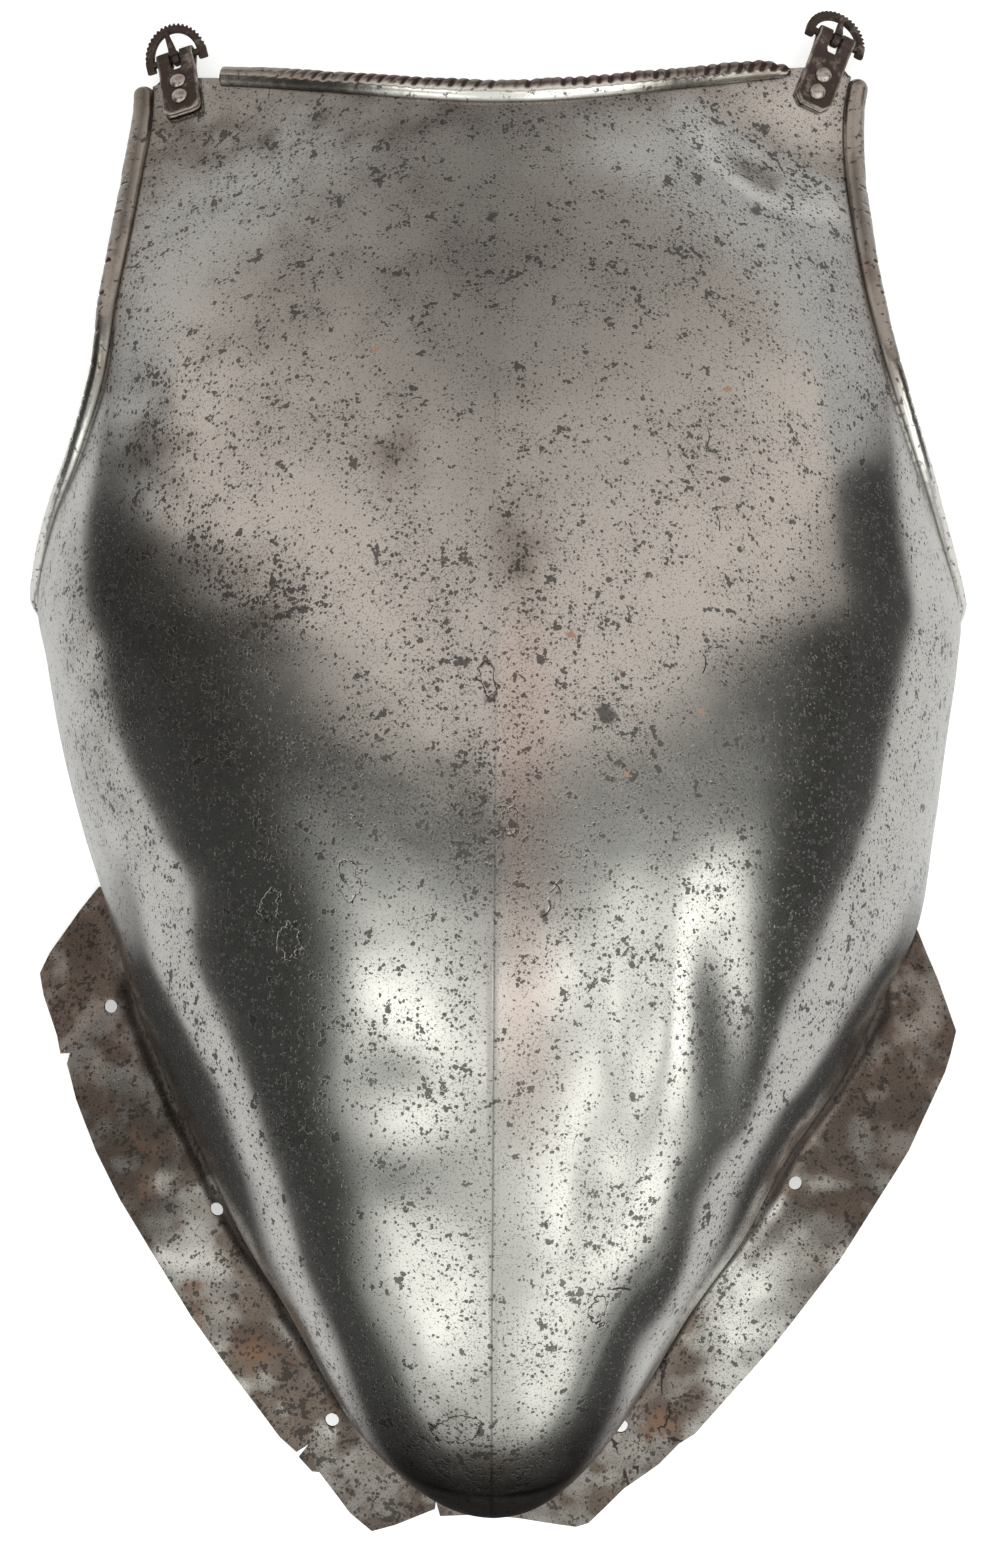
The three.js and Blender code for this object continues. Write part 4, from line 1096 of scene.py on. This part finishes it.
# Unpolished inner face: dark scale with brown rust drifts
def makeInsideSteel():
    material, finish, inputs, where = newMaterial("insideSteel")
    look = insideLook
    broad, fine = finish.noise(where, 40, 4, 0.6), finish.noise(where, 3, 4, 0.65)
    tint = finish.colour(look["scale"], look["rust"], finish.step(broad + (fine - 0.5) * 0.5, 0.42, 0.62))
    tint = finish.colour(tint, look["dark"], finish.step(fine, 0.55, 0.66) * 0.8)
    finish.surface(inputs, tint, 0.75, 0.42 + fine * 0.25, fine, 0.4, 0.3)
    return material


rollLook = {
    "steel": (0.44, 0.405, 0.37), "brown": (0.27, 0.2, 0.165), "paintedHighlight": (0.95, 0.92, 0.88),
    "paintedShadeSide": (0.16, 0.1, 0.09), "pitsAndShade": (0.05, 0.032, 0.03),
}


# Rolled edges: the plate's steel, with a painted highlight on the side toward the plate, painted shade on
# the outer side, and black painted shade in the notches and the crease, besides dark pits
def makeRollSteel():
    material, finish, inputs, where = newMaterial("rollSteel")
    look = rollLook
    notch, crease, paintedHighlight, paintedShadeSide = map(finish.attribute, ("notch", "crease", "paintedHighlight", "paintedShadeSide"))
    broad, pit = finish.noise(where, 16, 3), finish.noise(where, 2.2, 3, 0.62)
    tint = finish.colour(look["steel"], look["brown"], finish.step(broad, 0.48, 0.68) * 0.6)
    # A painted highlight on the side toward the plate, and painted shade on the outer side
    tint = finish.colour(tint, look["paintedHighlight"], paintedHighlight)
    tint = finish.colour(tint, look["paintedShadeSide"], paintedShadeSide)
    # Painted shade in the notches and the crease, with the dark pits
    pitsAndShade = [finish.step(notch, 0.12, 0.55) * 0.9, crease * 0.6, finish.step(pit, 0.57, 0.66) * 0.75]
    pitsAndShade = finish.most(pitsAndShade)
    tint = finish.colour(tint, look["pitsAndShade"], pitsAndShade)
    finish.surface(inputs, tint, 1, 0.22 + pitsAndShade * 0.3, finish.noise(where, 1.8, 3), 0.35, 0.15)
    return material


ironLook = {"oxide": (0.085, 0.062, 0.055), "wearAndHighlight": (0.5, 0.44, 0.4), "pit": (0.035, 0.025, 0.022)}


# Buckle iron: dark brown oxide, rubbed to grey metal in drifts, and grey along the rims as rubbed metal and
# a painted highlight on the edges
def makeBuckleIron():
    material, finish, inputs, where = newMaterial("buckleIron")
    look = ironLook
    broad, fine = finish.noise(where, 5, 3, 0.6), finish.noise(where, 0.9, 3, 0.6)
    wearAndHighlight = finish.step(broad + (fine - 0.5) * 0.5, 0.52, 0.75) * 0.5
    # Grey along the rims: rubbed metal and a painted highlight on the edges
    wearAndHighlight = finish.most([wearAndHighlight, finish.attribute("rim") * finish.step(broad, 0.3, 0.55)])
    tint = finish.colour(look["oxide"], look["wearAndHighlight"], wearAndHighlight)
    tint = finish.colour(tint, look["pit"], finish.step(fine, 0.56, 0.68) * 0.7)
    finish.surface(inputs, tint, 0.9, 0.5 - wearAndHighlight * 0.16, fine, 0.5, 0.12)
    return material


rivetLook = {"steel": (0.58, 0.52, 0.49), "pit": (0.1, 0.07, 0.06)}


# Rivets: the plate's steel, darkened in its pits
def makeRivetSteel():
    material, finish, inputs, where = newMaterial("rivetSteel")
    fine = finish.noise(where, 1.3, 3, 0.6)
    dark = finish.step(fine, 0.56, 0.68)
    tint = finish.colour(rivetLook["steel"], rivetLook["pit"], dark * 0.75)
    finish.surface(inputs, tint, 1, 0.3 + dark * 0.2, fine, 0.4, 0.1)
    return material


makeBreastplate(makePlateSteel(), makeInsideSteel())
rollSteel = makeRollSteel()
for edge in rolls:
    makeRoll(edge, rollSteel)
print("rolled edges")
iron, rivetSteel = makeBuckleIron(), makeRivetSteel()
for seat in buckles:
    makeBucklePlate(seat, iron)
    makeBuckleFrame(seat, iron)
    makeBuckleTongue(seat, iron)
    makeRivet(seat, "upper", rivetSteel)
    makeRivet(seat, "lower", rivetSteel)
print("buckles")

# The studio as brightness by direction: a pale wall past the neck, a window that fills the sky over the
# belly with brighter panes in it, and a dark room round both. Sizes are parts of the unit direction.
studio = {
    "wall": (0.71, 0.655, 0.605), "wallEdge": 0.235, "wallRise": 0.115, "wallTurn": -0.02, "wallBlur": 0.1,
    "wallShade": 0.68, "wallDip": 0.14,
    "window": 0.7, "left": -0.74, "right": 0.91, "near": 0.11, "sideBlur": 0.14, "nearBlur": 0.12,
    "low": 0.02, "high": 0.32, "veil": 0.12, "rightVeil": 0.2, "dark": 0.055,
}
panes = table("x y wide long light", [
    (0.37, -0.01, 0.06, 0.05, 0.8), (-0.50, -0.04, 0.17, 0.11, 0.9), (-0.38, -0.15, 0.12, 0.08, 0.6),
    (-0.54, -0.33, 0.2, 0.09, -0.4), (-0.44, -0.54, 0.17, 0.12, 0.6), (-0.32, -0.68, 0.16, 0.1, 0.5),
    (0.22, -0.06, 0.1, 0.09, 0.5), (0.80, -0.12, 0.11, 0.18, 1.1), (0.60, 0.0, 0.2, 0.09, 0.5),
    (0.55, -0.5, 0.16, 0.14, 0.5), (0.50, -0.2, 0.1, 0.08, 0.7), (0.43, -0.35, 0.11, 0.11, 0.7),
    (0.76, -0.47, 0.1, 0.1, 0.8), (0.42, -0.72, 0.16, 0.15, 0.6),
])

# The paper under the steel, in millimetres. Its edges, the painted shadow on it and what lies past it are
# seen in the steel alone.
paper = {
    "half": 6000, "colour": (0.8, 0.805, 0.81), "glow": (0.99, 1, 1), "glowStrength": 0.42,
    "sun": 1.3, "sunAngle": 34,
    "reach": 390, "reachUp": 215, "growth": 3.5, "low": 250, "lowSlope": 0.3, "light": 0.58,
    "shadow": 126, "shadowSlope": 0.72, "shadowSlopeLeft": 1.25,
    "pastSlope": 0.37, "pastLight": 0.42, "pastDark": 0.04,
}


# The studio's brightness: each of its parts is a product of S-shaped steps of the direction
def makeWorld():
    world = bpy.data.worlds.new("studio")
    world.use_nodes = True
    finish = Finish(world.node_tree)
    direction = finish.places("Generated")
    x, y, z = finish.parts(direction, "XYZ")
    aside = abs(x)
    edge = aside * studio["wallRise"] + x * studio["wallTurn"] + studio["wallEdge"]
    wall = finish.edge(y - edge, 0, studio["wallBlur"] / 2)
    tone = 1 - finish.step(y, 0.42, 0.95) * (studio["wallShade"] - aside * 0.3)
    tone = tone * (1 - finish.step(x, -0.35, -0.1) * finish.step(x, 0.12, 0.0) * studio["wallDip"])
    window = finish.edge(x, studio["left"], studio["sideBlur"] * 0.75)
    window = window * finish.edge(x, studio["right"], studio["sideBlur"] * -0.35)
    window = window * finish.edge(y, studio["near"], studio["nearBlur"] / -2)
    window = window * finish.step(z, studio["low"], studio["high"])
    veil = finish.step(x, 0.0, 0.4) * finish.step(y, 0.27, 0.15) * studio["rightVeil"] + studio["veil"]
    veil = veil * finish.step(x, -0.9, -0.3) * finish.step(x, 0.98, 0.7) * finish.step(y, -0.95, -0.7)
    veil = veil * (1 - wall)
    inPanes = 0
    for pane in eachRow(panes):
        sockets = {"Vector": direction, "Location": (pane["x"], pane["y"], 0),
                   "Scale": (pane["wide"], pane["long"], 1000)}
        spot = finish.add("ShaderNodeMapping", {"vector_type": "TEXTURE"}, sockets)
        inPanes = finish.step(finish.length(spot), 1.5, 0.5) * pane["light"] + inPanes
    light = finish.most([window * (inPanes + studio["window"]), veil]) + studio["dark"]
    grey = finish.add("ShaderNodeCombineColor", {}, {0: light * 0.97, 1: light, 2: light * 0.955})
    pale = finish.colour((0, 0, 0), studio["wall"], wall * tone)
    finish.join(world.node_tree.nodes["Background"].inputs["Color"], finish.colour(grey, pale, 1.0, "ADD"))
    bpy.context.scene.world = world


# In the steel's reflections alone the paper's colour is painted: it ends at its real edge, with a painted
# pale wall's foot and dark room past it, and close to the flange a painted shadow of the plate lies on it
def makePaper():
    material, finish, inputs, spot = newMaterial("paper")
    x, y = finish.parts(spot, "XY")
    aside = abs(x)
    narrowing = finish.step(y, -0.02, 0.14) * ((paper["reach"] - paper["reachUp"]) * mm)
    below = finish.math("MAXIMUM", y * -1 - 0.015, 0)
    reach = paper["reach"] * mm - narrowing + below * paper["growth"]
    onPaper = finish.edge(reach - aside, 0, 0.03)
    onPaper = onPaper * finish.edge(y + aside * paper["lowSlope"] + paper["low"] * mm, 0, 0.04)
    # Painted shadow of the plate on the paper near the flange, seen in the steel alone
    turnLeft = paper["shadowSlopeLeft"] - paper["shadowSlope"]
    slope = finish.edge(x, 0, -0.02) * turnLeft + paper["shadowSlope"]
    lit = finish.edge(aside + y * slope - paper["shadow"] * mm, 0, 0.025)
    onPaper = onPaper * finish.most([lit, finish.step(y, -0.09, -0.04), finish.step(y, -0.19, -0.25)])
    past = finish.step(y - aside * paper["pastSlope"], 0.03, 0.08)
    past = past * (paper["pastLight"] - paper["pastDark"]) + paper["pastDark"]
    mirrored = finish.add("ShaderNodeLightPath", {}, {}, "Is Glossy Ray")
    level = 1 - mirrored * (1 - finish.most([onPaper * paper["light"], past]))
    finish.join(inputs["Base Color"], finish.colour((0, 0, 0), paper["colour"], level))
    finish.join(inputs["Emission Color"], finish.colour((0, 0, 0), paper["glow"], level))
    inputs["Emission Strength"].default_value = paper["glowStrength"]
    inputs["Roughness"].default_value = 0.9
    inputs["Specular IOR Level"].default_value = 0.1
    material.cycles.emission_sampling = "NONE"
    return material


# Floor, camera and the floor's own sun
def makeStage():
    corners = np.array([(-1, -1, 0), (1, -1, 0), (1, 1, 0), (-1, 1, 0)]) * paper["half"]
    floor = makePiece("floor", corners, [[0, 1, 2, 3]])
    coat(floor, makePaper())

    camera = bpy.data.objects.new("camera", bpy.data.cameras.new("camera"))
    camera.data.lens, camera.data.sensor_width = photoCamera["lens"], photoCamera["sensor"]
    camera.location = (photoCamera["x"] * mm, photoCamera["y"] * mm, photoCamera["height"] * mm)
    camera.data.clip_end = 20
    bpy.context.scene.collection.objects.link(camera)
    bpy.context.scene.camera = camera
    bpy.context.scene.view_settings.view_transform = "Standard"

    # lights the floor alone: it isn't seen in the steel
    lamp = bpy.data.lights.new("floorLight", "SUN")
    lamp.energy, lamp.angle = paper["sun"], math.radians(paper["sunAngle"])
    sun = bpy.data.objects.new("floorLight", lamp)
    sun.visible_glossy = False
    bpy.context.scene.collection.objects.link(sun)


makeWorld()
makeStage()
print("studio")
